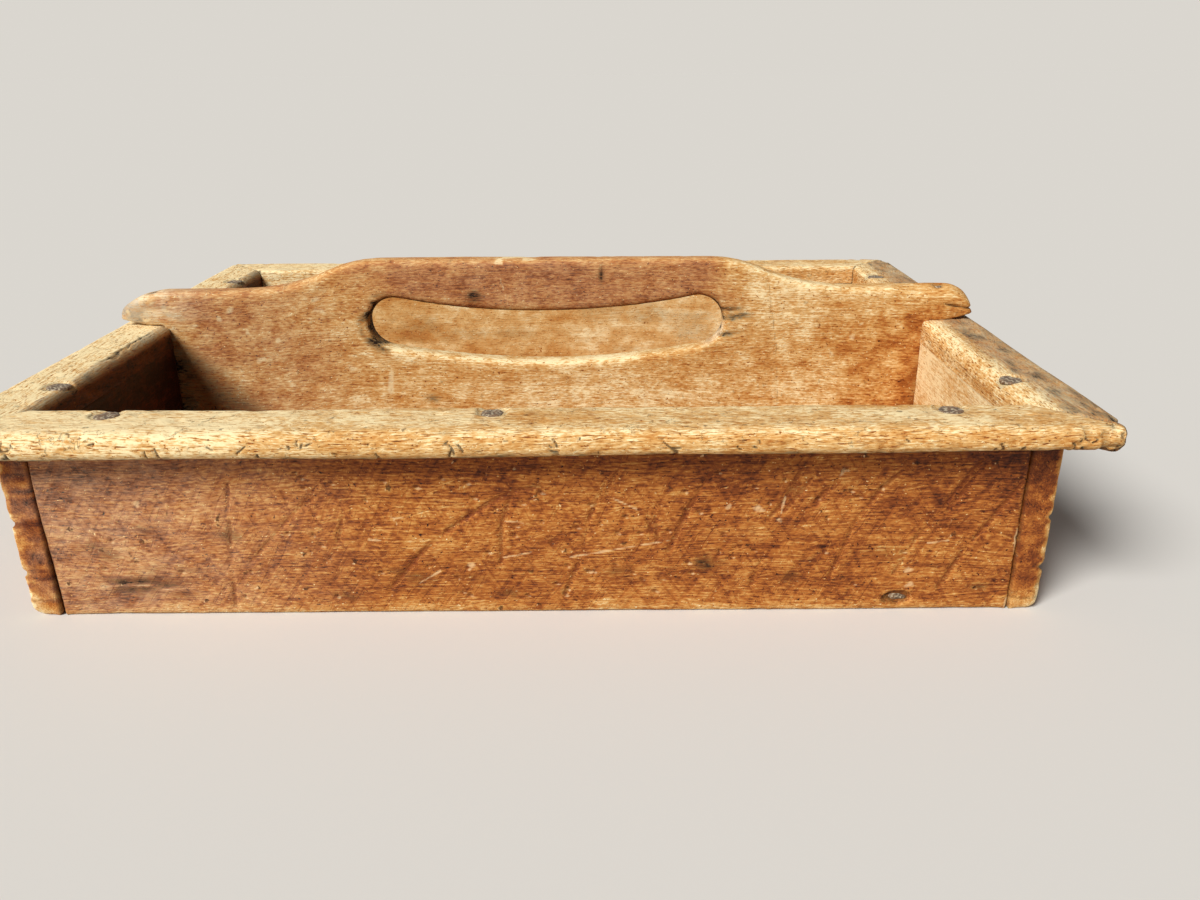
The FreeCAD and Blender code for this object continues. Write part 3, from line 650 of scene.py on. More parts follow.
wear, given = new_tree(
    "board wear",
    {
        "Passes": "Int",
        "Lump size": "Float",
        "Warp size": "Float",
        "Warp": "Float",
        "Dent size": "Float",
        "Dents": "Float",
        "Fibre size": "Vector",
        "Fibre relief": "Float",
        "Seed": "Float",
        "Wood": "Material",
    },
)
print("wear has", len(given), "inputs")

# %% Wear tree
UNEVEN_FROM, UNEVEN_TO = (0.35, 0.65), (0.2, 1.0)  # how the lumps thin and thicken the wear
WARP_RANGE, DENT_RANGE, FIBRE_RANGE = (0.2, 0.8), (0.58, 0.72), (0.25, 0.75)  # noise that counts


def wear_lumps(size, octaves):
    """Lumps of the size that an input gives, from 0 to 1."""
    spots = add(wear, "ShaderNodeVectorMath", {0: place, 1: size}, operation="DIVIDE")
    feeds = {"Vector": spots, "W": given["Seed"], "Scale": 1.0, "Detail": octaves}
    return add(wear, "ShaderNodeTexNoise", feeds, noise_dimensions="4D")


place = add(wear, "GeometryNodeInputPosition")
outward = add(wear, "GeometryNodeInputNormal")
rubbed = add(wear, "GeometryNodeInputNamedAttribute", {"Name": "rubbed"}, data_type="FLOAT")
uneven = wear_lumps(given["Lump size"], 2.0)
feeds = {0: uneven, 1: UNEVEN_FROM[0], 2: UNEVEN_FROM[1], 3: UNEVEN_TO[0], 4: UNEVEN_TO[1]}
uneven = add(wear, "ShaderNodeMapRange", feeds)
weight = add(wear, "ShaderNodeMath", {0: rubbed, 1: uneven}, operation="MULTIPLY")
feeds = {"Value": place, "Iterations": given["Passes"], "Weight": weight}
worn_place = add(wear, "GeometryNodeBlurAttribute", feeds, data_type="FLOAT_VECTOR")
lost = add(wear, "ShaderNodeVectorMath", {0: place, 1: worn_place}, operation="SUBTRACT")
sunk = add(wear, "ShaderNodeVectorMath", {0: lost, 1: outward}, out="Value", operation="DOT_PRODUCT")
feeds = {"Geometry": given["Geometry"], "Name": "edge", "Value": sunk}
kept = add(wear, "GeometryNodeStoreNamedAttribute", feeds, data_type="FLOAT")
height = 0.0
for noise, (low, high), amount, sign in (
    (wear_lumps(given["Warp size"], 0.0), WARP_RANGE, given["Warp"], 1),
    (wear_lumps(given["Dent size"], 1.0), DENT_RANGE, given["Dents"], -1),
    (wear_lumps(given["Fibre size"], 2.0), FIBRE_RANGE, given["Fibre relief"], 1),
):
    bottom = -1.0 if sign > 0 else 0.0  # dents only go in
    level = add(wear, "ShaderNodeMapRange", {0: noise, 1: low, 2: high, 3: bottom, 4: float(sign)})
    height = add(wear, "ShaderNodeMath", {0: level, 1: amount, 2: height}, operation="MULTIPLY_ADD")
lift = add(wear, "ShaderNodeVectorMath", {0: outward, "Scale": height}, operation="SCALE")
moved = add(wear, "GeometryNodeSetPosition", {"Geometry": kept, "Position": worn_place, "Offset": lift})
real = add(wear, "GeometryNodeRealizeInstances", {"Geometry": moved})
skin = add(wear, "GeometryNodeSetMaterial", {"Geometry": real, "Material": given["Wood"]})
add(wear, "NodeGroupOutput", {"Geometry": skin})
print("wear tree:", len(wear.nodes), "nodes")

# %% [markdown]
# ## Tools for marking a board
# What one board has and another hasn't is put on one by one, after the wear: scratches,
# pits, cracks, heavily rounded corners, and the dish that the hammer left round each nail.
# Cutting each with a Boolean would be slow and leave slivers. The net of faces is fine enough
# to move its points instead, so each tool here moves points, or gives back a number for each
# point that a board then sinks and paints.

# %% A worn board
WARP_SIZE, DENT_SIZE = 70, 9  # millimetres from one warp or dent to the next
FIBRE_SIZE = (30, 1.9)  # millimetres along and across the grain


def worn_board(board, voxel, wood, rubbed, passes, seed, lump=14.0, warp=0.2, dents=0.12, relief=0.05):
    """A blank worn by the tree. rubbed gives the painted number from the points' x, y and z."""
    piece = blank(board, voxel)
    points, _ = read(piece.data)
    paint(piece.data, "rubbed", np.clip(rubbed(*points.T), 0, 1))
    low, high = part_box(board)
    grain = "XY"[high[1] - low[1] > high[0] - low[0]]
    values = {
        "Passes": passes,
        "Lump size": lump * MM,
        "Warp size": WARP_SIZE * MM,
        "Warp": warp * MM,
        "Dent size": DENT_SIZE * MM,
        "Dents": dents * MM,
        "Fibre size": [size * MM for size in sized(grain, *FIBRE_SIZE)],
        "Fibre relief": relief * MM,
        "Seed": float(seed),
        "Wood": wood,
    }
    grow(piece, wear, values)
    points, normals = read(piece.data)
    return piece, points, normals, painted(piece.data, "edge") / MM


print("fibres stand", FIBRE_SIZE[1], "mm apart")

# %% Marks on a face
MARK_REACH = 2.7  # how far a spot's number falls off, in radii
SCRATCH_REACH, SCRATCH_DEPTH = 2.0, 0.55  # millimetres that a scratch's number falls over, and its depth
SCRATCH_BED, PIT_BED = (0.3, 0.9), (0.4, 0.9)  # the numbers where a mark starts to sink and is deepest


def from_line(flat, line):
    """How far points of a plane lie from a broken line."""
    best = np.full(len(flat), np.inf)
    for start, end in zip(line, line[1:]):
        start, run = np.array(start, float), np.subtract(end, start)
        part = np.clip((flat - start) @ run / (run @ run), 0, 1)
        best = np.minimum(best, np.linalg.norm(flat - start - part[:, None] * run, axis=1))
    return best


def blob(flat, centre, size):
    """1 at a spot in a plane, falling softly to 0. The size is one number or two."""
    return np.exp(-(((flat - np.array(centre)) / np.array(size)) ** 2).sum(1))


def near(distance, reach):
    """1 at no distance, falling straight to 0 at a reach: the number for a crisp mark."""
    return np.clip(1 - distance / reach, 0, 1)


def spot_mark(flat, centre, size):
    """The number for a crisp spot of about that radius, or of two radii."""
    return near(np.linalg.norm((flat - np.array(centre)) / np.array(size), axis=1), MARK_REACH)


def line_marks(flat, lines, shaky, reach):
    """The number for crisp lines. shaky is how far off the line each point seems, in millimetres."""
    marked = np.zeros(len(flat))
    for line in lines:
        marked = np.maximum(marked, near(from_line(flat, line) + shaky, reach))
    return marked


def shaken_flat(flat, points, reach, size, seed):
    """The plane's points moved at random, by lumps of that size, so that a spot gets a ragged outline."""
    return flat + reach * np.stack([lumps(points, size, seed), lumps(points, size, seed + 1)], axis=1)


print("scratches are", SCRATCH_DEPTH, "mm deep")

# %% Scattered marks
PIT_HEIGHTS = (6, 57)  # millimetres, where a wall has pits


def scatter_pits(flat, draw, count, half, widths, heights):
    """The number for that many pits over a half length of a wall, with radii between two limits."""
    pitted = np.zeros(len(flat))
    for _ in range(count):
        spot = (draw.uniform(-half, half), draw.uniform(*PIT_HEIGHTS))
        pitted = np.maximum(pitted, spot_mark(flat, spot, (draw.uniform(*widths), draw.uniform(*heights))))
    return pitted


def scatter_scratches(flat, draw, count, shaky, starts, runs):
    """The number for that many scratches, with limits for where they start and how far they run."""
    lines = []
    for _ in range(count):
        start = np.array([draw.uniform(*limits) for limits in starts])
        lines.append([start, start + [draw.uniform(*limits) for limits in runs]])
    return line_marks(flat, lines, shaky, SCRATCH_REACH)


print("pits lie", PIT_HEIGHTS, "mm up a wall")

# %% Edges
TIGHT = 0.7  # how near to an edge points are drawn onto it, in millimetres


def round_edge(points, axes, corner, inward, radius):
    """Rounds a straight edge that runs across two axes, with a radius for each point."""
    inside = (points[:, axes] - np.array(corner)) * np.array(inward)
    away = inside - np.asarray(radius, float)[:, None]
    reach = np.linalg.norm(away, axis=1)
    cut = (away < 0).all(1) & (reach > radius)
    moved = radius[cut, None] + away[cut] * (radius[cut] / reach[cut])[:, None]
    points[np.ix_(cut, axes)] = moved * np.array(inward) + np.array(corner)


def tighten(piece, points, axes, corner):
    """Makes an edge sharp again where two boards meet, so that no groove shows between them."""
    close = (np.abs(points[:, axes] - np.array(corner)) < TIGHT).all(1)
    points[np.ix_(close, axes)] = corner
    ends = np.empty(2 * len(piece.data.edges), np.int32)
    piece.data.edges.foreach_get("vertices", ends)
    sharp = piece.data.attributes.new("sharp_edge", "BOOLEAN", "EDGE")
    sharp.data.foreach_set("value", close[ends.reshape(-1, 2)].all(1))


print("edges are tight to", TIGHT, "mm")

# %% Nail seats
SEAT_RADIUS, SEAT_DEPTH, SEAT_REACH = 5.5, 0.8, 2.5  # the hammer's dish round a nail, in millimetres
SEAT_RIM = (0.5, -0.7)  # where the dish starts and is deepest, from its radius
STAIN_RADIUS, STAIN_HEART = 6.5, 4.5  # how far iron stains the wood, and how far fully
EAR_HEAD = 0.5  # how large the heads in the ears are, beside those in the rim
NARROW_PINCH = 1.9  # how much flatter than round the dish of a narrow head is
PUNCHED = 0.5  # how much deeper a narrow head was punched in
FILLED_OVER = {
    ("front_floor_nails", 0),
    ("front_floor_nails", 1),
    ("back_rim_nails", 0),
    ("back_rim_nails", 2),
}  # heads that wood filler hides


def is_narrow(row):
    """True for the nails in the walls, whose heads are narrow and punched in."""
    return "floor" in row or "corner" in row


def seat_nails(points, seed):
    """Dishes the wood round each nail's head, and gives back how much iron stains it."""
    stain = np.zeros(len(points))
    ragged = 1.8 * lumps(points, 2.5, seed) + 0.8 * lumps(points, 1.2, seed)
    for row, nails in NAILS.items():
        for number, nail in enumerate(nails):
            if (row, number) in FILLED_OVER:
                continue
            across, along = across_and_along(points, nail)
            close = np.abs(along) < SEAT_REACH
            depth = SEAT_DEPTH
            if is_narrow(row):
                across = np.hypot(across, NARROW_PINCH * (points - nail[0])[:, 2])
                depth = SEAT_DEPTH + PUNCHED
            if "ear" in row:
                across = across / EAR_HEAD
            dish = ramp(across + 0.25 * ragged, SEAT_RADIUS + SEAT_RIM[0], SEAT_RADIUS + SEAT_RIM[1])
            points += np.outer(depth * close * dish, nail[1])
            stain = np.maximum(stain, close * ramp(across + ragged, STAIN_RADIUS, STAIN_HEART))
    return stain


print("nails to seat:", len(ALL_NAILS) - len(FILLED_OVER))

# %% Placing a board
FRONT, BACK, SIDE = -130.0, 130.0, 178.0  # the tray's outer faces, in millimetres
BOARD = 11.0  # thickness of walls, ends and handle
RIM_LOW, RIM_TOP = 63.5, 73.5
NOSE = 14.4  # how far the rim stands out
SKIN = (2.5, 1.2)  # how deep a face's own marks reach at most, and fully


def on_face(values, face):
    """1 at a face that lies at the end of a coordinate, and 0 deeper in the board."""
    return ramp(values, face - SKIN[0], face - SKIN[1])


def place_piece(piece, node):
    """Lets a piece ride on the caddy in the place of a CAD node, and hides that node."""
    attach(piece, "root")
    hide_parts(node)


def finish(board, piece, points, **coat):
    """Writes a board's points, paints its numbers, and puts it in the place of its CAD node."""
    write(piece.data, points)
    for label in ("bare", "dust", "grime", "cut", "chip"):
        paint(piece.data, label, np.clip(coat.get(label, np.zeros(len(points))), 0, 1))
    for label in ("rubbed", "edge"):
        piece.data.attributes.remove(piece.data.attributes[label])
    place_piece(piece, board)
    print(board, "is worn:", len(piece.data.vertices), "points")


print("tray:", 2 * SIDE, "by", BACK - FRONT, "mm")

# %% [markdown]
# ## The front wall
# The front has been dragged over benches for decades. Long slanting scratches cross it,
# most of them from the upper right to the lower left, and tools have left small pits. Its
# varnish is whole but thin, darkest under the rim and at the left, and its lower edge is
# rubbed bare. A band under the rim is darkened with dirt and painted shade, and the wall is
# painted a little darker towards the right, as light that falls off from the left. The
# scratches are typed in as measured, because they are what makes this front this front.
# The pits only need to be many and small, so they are scattered.

# %% Front wall scratches
FRONT_SCRATCHES = [
    [(-98.2, 20.2), (-86.5, 33.0), (-68.4, 52.6)],
    [(-92.8, 26.2), (-79.7, 39.6), (-72.1, 46.1)],
    [(-101.4, 50.4), (-103.5, 28), (-105.3, 3.6)],
    [(-63.9, 38.7), (-66.5, 28.6)],
    [(-58.5, 55.8), (-60.8, 47.7)],
    [(-50.6, 9.3), (-37.1, 24.9), (-26.5, 34.2), (-13.2, 43.2), (-5.6, 47.3), (3.4, 48.8)],
    [(-10.9, 19.6), (-10.2, 34.9), (-5.6, 47.3)],
    [(26.6, 53.5), (19.7, 36.3), (17.7, 26.2)],
    [(28.8, 53.5), (24.3, 42.9)],
    [(7.7, 38.9), (15.0, 26.2)],
    [(41.5, 41.2), (43.2, 28.6)],
    [(39.3, 41.2), (40.9, 31.1)],
    [(60.7, 53.2), (53.6, 41.1), (47.1, 24.3)],
    [(57.1, 47.6), (49.3, 29.4)],
    [(79.4, 21.4), (76.1, 11.0)],
    [(15.7, 19.3), (11.6, 8.8)],
    [(90.6, 49.0), (80.9, 35.9)],
    [(126.4, 55.3), (118.3, 47.3), (110.5, 35.0), (103.1, 13.6)],
    [(150.5, 57.5), (138.8, 38.1), (131.6, 28.1), (125.4, 14.3)],
    [(152.2, 55.9), (141.1, 38.1)],
    [(165.7, 49.4), (154.7, 32.1), (148.3, 22.8), (141.6, 8.9)],
    [(160.8, 42.1), (155.3, 33.0)],
    [(95.6, 52.4), (86.0, 38.5)],
    [(90.3, 53.2), (86.4, 44.3)],
    [(102.4, 49.9), (96.3, 41.8)],
    [(137.9, 33.1), (150.3, 31.3)],
    [(166.7, 27.8), (157.1, 31.3)],
]  # x and z in millimetres
LIGHT_SCRATCHES = [
    [(-10, 22), (0, 24)],
    [(13, 22), (47, 28)],
    [(-40, 12), (-32, 17)],
    [(28, 44), (36, 40)],
    [(86, 44), (85, 38)],
    [(-47.5, 39), (-45.6, 34.5)],
    [(-56, 29.2), (-51.5, 28.8)],
    [(-42, 28.4), (-37, 28.8)],
    [(-9, 36), (-2.5, 35.2)],
    [(-50, 36.8), (-43, 37.6)],
    [(136, 26.5), (143, 27.4)],
]
PALE_MARKS = [
    (-21.9, 19.7), (67.5, 40.7), (77.5, 39.8), (85.0, 35.6), (104.6, 52.6), (130.5, 16.8), (-133.1, 42.9),
]  # fmt: skip
DARK_MARKS = [
    (-8.8, 8.2), (58.7, 19.0), (89.7, 14.0), (30.5, 16.4), (155.9, 9.9), (-150.1, 27.2), (-146.6, 23.7),
    (-131.4, 33.5), (-103.8, 31.0), (-122.6, 8.1), (-64.5, 7.3),
]  # fmt: skip
print(len(FRONT_SCRATCHES), "scratches and", len(LIGHT_SCRATCHES), "light ones")

# %% Front wall
GAPE = 0.9  # millimetres that the joint at the left gapes at the floor
LIGHT_REACH = 1.0  # millimetres that a light scratch's number falls over


def wall_rub(x, y, z):
    """The bench rubs the lower edge, and nothing reaches the joints at the ends."""
    return 0.04 + 0.8 * ramp(z, 5, 1) * ramp(np.abs(x), 166, 163)


front, points, _, edge = worn_board(
    "front_wall", voxel=0.77, wood=WALL_WOOD, rubbed=wall_rub, passes=14, seed=11
)
chipped = 1.3 + 1.6 * lumps(points, (7, 6, 6), 22) + 0.8 * lumps(points, (2.6, 3, 3), 23)
round_edge(points, [1, 2], (FRONT, 0.0), (1, 1), np.clip(chipped, 0.2, 4))
x, y, z = points.T
points[:, 0] += GAPE * ramp(z, 48, 4) * ramp(x, -165, -166.5)
flat = points[:, [0, 2]]
outside = on_face(-y, -FRONT)
shaky = 0.25 * lumps(points, 3.0, 12)
scored = line_marks(flat, FRONT_SCRATCHES, shaky, SCRATCH_REACH)
scored -= 0.3 * ramp(lumps(points, 8, 29), 0.0, -0.5)  # they fade in places
light = line_marks(flat, LIGHT_SCRATCHES, shaky, LIGHT_REACH)
print(f"{100 * np.mean(outside * scored > MARK_EDGE[0]):.1f} percent of the points lie in scratches")

# %% [markdown]
# ### Dents in the front
# A tool that falls on varnish leaves a dark pit. Each pit gets a pale lip below and beside
# it, a painted highlight where its lower lip would catch the light. Sculpting them would take
# an hour and could not be repeated. Here they are drawn at random from a fixed seed, more in
# the middle than at the ends, and only the gouges and the odd large marks are listed one by one.

# %% Front wall dents
PITS, PITS_ABOUT, PITS_SPREAD = 95, 5, 75  # how many, the x they gather about, and how widely
# A dent's pale lip is a painted highlight below and beside it, where its lower lip would catch the light.
DENT_HIGHLIGHT, DENT_HIGHLIGHT_SIZE, DENT_HIGHLIGHT_PALE = (0.9, -1.2), 0.8, 0.95  # a dent's pale lip: its place and size in the dent's own
GOUGES = [
    ((-138, 11.5), (14, 3.4), 1.3),
    ((-20, 13), (7, 2.5), 0.35),
    ((60, 14), (9, 2.5), 0.3),
]  # x and z, half sizes, and depth
draw = np.random.default_rng(21)
pitted, dent_highlights = np.zeros(len(points)), np.zeros(len(points))
for _ in range(PITS):
    spot = np.array((draw.normal(PITS_ABOUT, PITS_SPREAD), draw.uniform(7, 57)))
    size = np.array((draw.uniform(0.5, 1.3), draw.uniform(0.4, 0.75)))
    pitted = np.maximum(pitted, spot_mark(flat, spot, size))
    dent_highlights = np.maximum(dent_highlights, DENT_HIGHLIGHT_PALE * spot_mark(flat, spot + DENT_HIGHLIGHT * size, DENT_HIGHLIGHT_SIZE * size))
shaky_flat = shaken_flat(flat, points, 1.2, 2.2, 26)
pale = sum(spot_mark(shaky_flat, spot, (1.3, 0.9)) for spot in PALE_MARKS)
dark = sum(blob(shaky_flat, spot, (3.6, 1.7)) for spot in DARK_MARKS)
torn = lumps(points, (9, 3, 1.7), 14)
gouged = np.zeros(len(points))
for spot, size, much in GOUGES:
    gouged = np.maximum(gouged, much * blob(flat, spot, size) * ramp(torn, -0.35, 0.25))
splinters = 1.5 * blob(flat, *GOUGES[0][:2]) * ramp(torn, 0.0, -0.5)  # in the largest gouge
sunk = SCRATCH_DEPTH * ramp(scored, *SCRATCH_BED) + 0.6 * ramp(pitted, *PIT_BED) + 0.9 * gouged
points[:, 1] += outside * sunk
print(f"deepest mark: {(outside * sunk).max():.2f} mm")

# %% [markdown]
# ### Varnish, dirt and painted shade of the front
# Dirt gathers where a cloth doesn't reach: in the joints and round the nails, and with
# painted shade under the rim and low on the inside. The bench scrubs the lower edge. Each
# line below is one such place, written as a soft step along x or z with lumps to break its
# edge, because a painted mask would have to be stored as a picture.

# %% Front wall finish
SCUFF = (131, 10.2)  # x and z of the pale chip beside a nail
low = ramp(z + 4 * lumps(points, (14, 5, 5), 15) + 2 * lumps(points, (4, 3, 2), 24), 9, 0)
smudge = ramp(lumps(points, (20, 9, 6), 16) + 0.5 * lumps(points, (6, 3, 2.5), 17), 0.3, 0.9)
bare = 0.55 + 0.15 * low + 0.2 * np.clip(edge, 0, 0.6) + 0.06 * lumps(points, (50, 20, 20), 18)
# Darker towards the top and at the upper left, as the varnish is, and darker towards the right as painted
# light that falls off from the left.
bare -= 0.08 * ramp(z, 42, 62) + 0.06 * ramp(x, -60, -150) * ramp(z, 25, 55) + 0.06 * ramp(x, 20, 120)
# Dirt and painted shade in a band under the rim.
grime = 0.75 * ramp(z, 58, 63)  # under the rim
grime += 0.45 * smudge * ramp(z, 30, 14) * ramp(z, 3, 9)
grime += 0.9 * ramp(x, -165, -166.2) * ramp(z, 52, 12)  # in the joint that gapes
grime += 0.4 * ramp(x, 165.4, 166.4) * ramp(z, 30, 40)
grime += 0.7 * seat_nails(points, 19)
grime += outside * (0.8 * gouged + 0.5 * dark + 0.7 * ramp(pitted, 0.55, 0.95))
inside = ramp(y, FRONT + BOARD - 2, FRONT + BOARD - 1)
split = ramp(np.abs(x - 166.2), 0.9, 0.3) * ramp(z, 36, 28) * ramp(lumps(points, (2, 2, 6), 25), -0.6, 0)
scuff = spot_mark(shaky_flat, SCUFF, (1.5, 0.9))
finish(
    "front_wall",
    front,
    points,
    bare=bare + 0.1 * inside,
    # Dirt and painted shade low on the inside.
    grime=grime + 0.25 * inside * ramp(z, 30, 8),
    cut=outside * np.maximum(scored, pitted),
    # Pale marks, light scratches, splits, a scuff and splinters, and the painted highlights beside the dents.
    chip=outside * np.max([pale, light, dent_highlights, split, scuff, splinters], axis=0),
    dust=outside * 0.17 * ramp(x, -40, -150),
)

# %% [markdown]
# ## The two ends
# The ends run past the front and back walls, so their end grain shows as a strip at each
# corner. Knocks have crumbled the outer arris and rounded the lower corner there. From the
# side an end looks like the front, varnished and scuffed, with dirt and painted shade under
# the rim. Inside, the left one is painted nearly black, as dark varnish and painted shade,
# and the right one, which light and hands reach, is worn to an orange tan.
# Left and right share the functions, with side -1 for the left and 1 for the right.


# %% Shape of an end
def shaped_end(board, side, seed):
    """A worn end with its foot and its two upright arrises rounded."""

    def rubbed(x, y, z):
        corner = ramp(side * x, SIDE - 4, SIDE - 1) * ramp(np.abs(y), BACK - 4, BACK - 1)
        free = ramp(side * x, SIDE - BOARD + 1.5, SIDE - BOARD + 4)
        return 0.04 + free * (0.85 * ramp(z, 6, 1.5) + 0.8 * corner)

    feel = {"voxel": 0.78, "passes": 14, "lump": 32.0, "dents": 0.25}
    piece, points, _, edge = worn_board(board, wood=END_WOOD, rubbed=rubbed, seed=seed, **feel)
    x, y, z = points.T
    foot = 3.2 + 3.3 * ramp(np.abs(y), BACK - 40, BACK - 4) + 0.8 * lumps(points, 12, seed + 1)
    round_edge(points, [0, 2], (side * SIDE, 0.0), (-side, 1), foot)
    crumbly = 0.8 * lumps(points, (5, 5, 9), seed + 2) + 0.9 * lumps(points, (1.8, 1.8, 1.8), seed + 9)
    upright = np.clip(2.0 + crumbly + 1.2 * ramp(z, 35, 5), 0.4, 9)
    for end in (-1, 1):
        round_edge(points, [0, 1], (side * SIDE, end * BACK), (-side, -end), upright)
    return piece, points, edge


def marked_end(points, side, seed, outside, cut_end):
    """Cuts an end's pits and scratches, and roughens its end grain. Gives back both numbers."""
    draw = np.random.default_rng(seed)
    flat = points[:, [1, 2]]
    pitted = scatter_pits(flat, draw, count=40, half=120, widths=(0.6, 2.0), heights=(0.5, 0.9))
    shaky = 0.3 * lumps(points, 3, seed + 3)
    starts, runs = ((-120, 110), (8, 40)), ((-16, 24), (3, 22))
    scored = scatter_scratches(flat, draw, 11, shaky, starts, runs)
    points[:, 0] -= side * outside * (0.3 * ramp(scored, *SCRATCH_BED) + 0.5 * ramp(pitted, *PIT_BED))
    rough = ramp(lumps(points, (1.6, 1.6, 2.2), seed + 4), 0.2, 0.9) * cut_end
    points[:, 1] -= np.sign(points[:, 1]) * 0.25 * rough
    return np.maximum(scored, pitted), rough


print("ends are", BOARD, "mm thick")

# %% Ends
STREAKED = {-1: 0.26, 1: 0.06}  # how strongly the end grain is streaked
SPLIT_LENGTH = {-1: 5.0, 1: 2.2}  # millimetres, the fine splits in the end grain
PLAIN = 0.53  # how bare an end's varnish is


def worn_end(board, side, seed, inner_bare, worn):
    """One end, with how bare it is inside, on the left also painted shade, and how many millimetres its arris
    lost.
    """
    piece, points, edge = shaped_end(board, side, seed)
    x, y, z = points.T
    outside = on_face(side * x, SIDE)
    cut_end = on_face(np.abs(y), BACK)
    inside = on_face(-side * x, BOARD - SIDE) * (1 - cut_end)
    marks, rough = marked_end(points, side, seed, outside, cut_end)

    low = ramp(z + 4 * lumps(points, (5, 14, 5), seed + 5), 11, 0)
    worn_to = SIDE - 2.6 - worn * ramp(z, 52, 20)
    arris = ramp(side * x + 2.2 * lumps(points, (2.2, 2, 1.8), seed + 6), worn_to, SIDE - 0.6) * cut_end
    bare = PLAIN + 0.22 * low - 0.1 * ramp(z, 40, 62) * (1 - inside)
    bare += 0.08 * lumps(points, (20, 50, 20), seed + 7) + 0.2 * np.clip(edge, 0, 0.7)
    bare += inside * (inner_bare - PLAIN) + 0.3 * arris - 0.11 * cut_end
    bare += 0.15 * cut_end * ramp(z + 3 * lumps(points, 4, seed + 10), 13, 7) * (side > 0)
    bare += cut_end * STREAKED[side] * lumps(points, (9, 3, 1.5), seed + 13)
    bare += cut_end * 0.12 * lumps(points, (2, 2, 1.8), seed + 14)
    # Dirt and painted shade in a band under the rim.
    grime = 0.6 * ramp(z, 57, 63) * (1 - inside) + 0.2 * rough + 0.5 * seat_nails(points, seed + 8)
    grime += cut_end * 0.5 * ramp(side * x, SIDE - BOARD + 1.2, SIDE - BOARD + 0.3)
    # Dirt and painted shade low on the inside.
    grime += 0.5 * inside * ramp(z, 22, 10)
    tighten(piece, points, [0, 2], (side * (SIDE - BOARD), RIM_LOW))
    haze = 0.08 * cut_end * (side < 0) * ramp(lumps(points, (5, 5, 4), seed + 11), -0.5, 0.5)
    splits = cut_end * ramp(lumps(points, (SPLIT_LENGTH[side], 2, 1.2), seed + 12), 0.3, 0.9)
    finish(board, piece, points, bare=bare, grime=grime, cut=outside * marks + splits, dust=haze)


# The left end's inside is painted nearly black: dark varnish and painted shade.
worn_end("left_end", side=-1, seed=31, inner_bare=0.02, worn=4.5)
worn_end("right_end", side=1, seed=41, inner_bare=0.98, worn=0.5)

# %% [markdown]
# ## The back wall
# The photograph shows only the inside of the back wall, through the hand slot: tan, with
# grey brown stains. Its outside is a guess, made like the front but with fewer scratches.


# %% Back wall
def back_rub(x, y, z):
    """The bench rubs the lower edge."""
    return 0.08 + 0.8 * ramp(z, 5, 1)


back, points, _, edge = worn_board(
    "back_wall", voxel=0.95, wood=BACK_WOOD, rubbed=back_rub, passes=10, seed=51
)
x, y, z = points.T
flat = points[:, [0, 2]]
outside = on_face(y, BACK)
inside = on_face(-y, BOARD - BACK)
draw = np.random.default_rng(52)
shaky = 0.3 * lumps(points, 3, 53)
starts, runs = ((-160, 150), (6, 36)), ((-12, 24), (4, 24))
scored = scatter_scratches(flat, draw, 13, shaky, starts, runs)
pitted = scatter_pits(flat, draw, count=45, half=160, widths=(0.8, 2.0), heights=(0.6, 1.0))
points[:, 1] -= outside * (SCRATCH_DEPTH * ramp(scored, *SCRATCH_BED) + 0.5 * ramp(pitted, *PIT_BED))

low = ramp(z + 4 * lumps(points, (14, 5, 5), 54), 10, 0)
smudge = ramp(lumps(points, (26, 9, 9), 55) + 0.4 * lumps(points, (8, 3, 3), 56), 0.25, 0.9)
bare = 0.54 + 0.22 * low - 0.1 * ramp(z, 38, 62) * outside + 0.5 * np.clip(edge, 0, 0.6) + 0.3 * inside
bare += 0.08 * lumps(points, (50, 20, 20), 57) + 0.08 * inside * lumps(points, (16, 9, 9), 59)
# Dirt and painted shade in a band under the rim outside, and low on the inside on the next line.
grime = 0.6 * ramp(z, 57, 63) * outside + 0.2 * smudge + 0.5 * ramp(np.abs(x), 163, 166.5)
grime += 0.6 * seat_nails(points, 58) + 0.3 * inside * ramp(z, 24, 10)
finish("back_wall", back, points, bare=bare, grime=grime, cut=outside * np.maximum(scored, pitted))

# %% [markdown]
# ## The rim
# Arms and tools slide over the rim all day, so it is scrubbed almost white. Its nose is full
# of short drying cracks that dirt has blackened, its lower edge is ragged and dark with dirt
# and painted shade, and its corners have crumbled: the one at the right of the front is
# round. The right rim's inner arris is worn away most, as if a saw had always been pulled out there.
# The four pieces share their functions, because they meet at the corners and have to agree.
# A piece runs along one axis, 0 or 1, and its nose is on side -1 or 1 of the axis across.

# %% Rim sizes
CORNER = np.array((SIDE + NOSE, BACK + NOSE))
CORNER_ROUND = {(1, -1): 8.0, (-1, -1): 5.0, (1, 1): 13.0, (-1, 1): 8.0}  # millimetres in plan
NOSE_ROUND = 4.5  # millimetres, the nose seen from its end
INNER_ROUND = {"front_rim": 1.6, "back_rim": 2.2, "left_rim": 4.5, "right_rim": 6.5}
CRACK_REACH = 1.0  # millimetres that a crack's number falls over
STRAY_CRACKS = 34
NOSE_CRACKS = [-165.4, -74.5, -70.0, -24.0, 46.5, 68.1, 74.0, -120.0, -88.0, 8.0, 120.0, 150.0]
CORNER_CRACKS = [
    (-164.5, 2.5), (-163.8, 0.5), (-164.2, -1.5), (-161.5, 1.5), (175, 1.5), (177.5, 0), (180, 1), (176, -2),
]  # fmt: skip


def long_size(run, along, across):
    """Sizes on the three axes, for lumps that lie along a rim."""
    return [along if axis == run else across for axis in range(3)]


def from_mitre(along, beside, run, cross):
    """How far points lie from the mitre at their end of a rim."""
    return np.abs(CORNER[run] - np.abs(along) - (CORNER[cross] - beside))


print("corner rounds:", CORNER_ROUND)

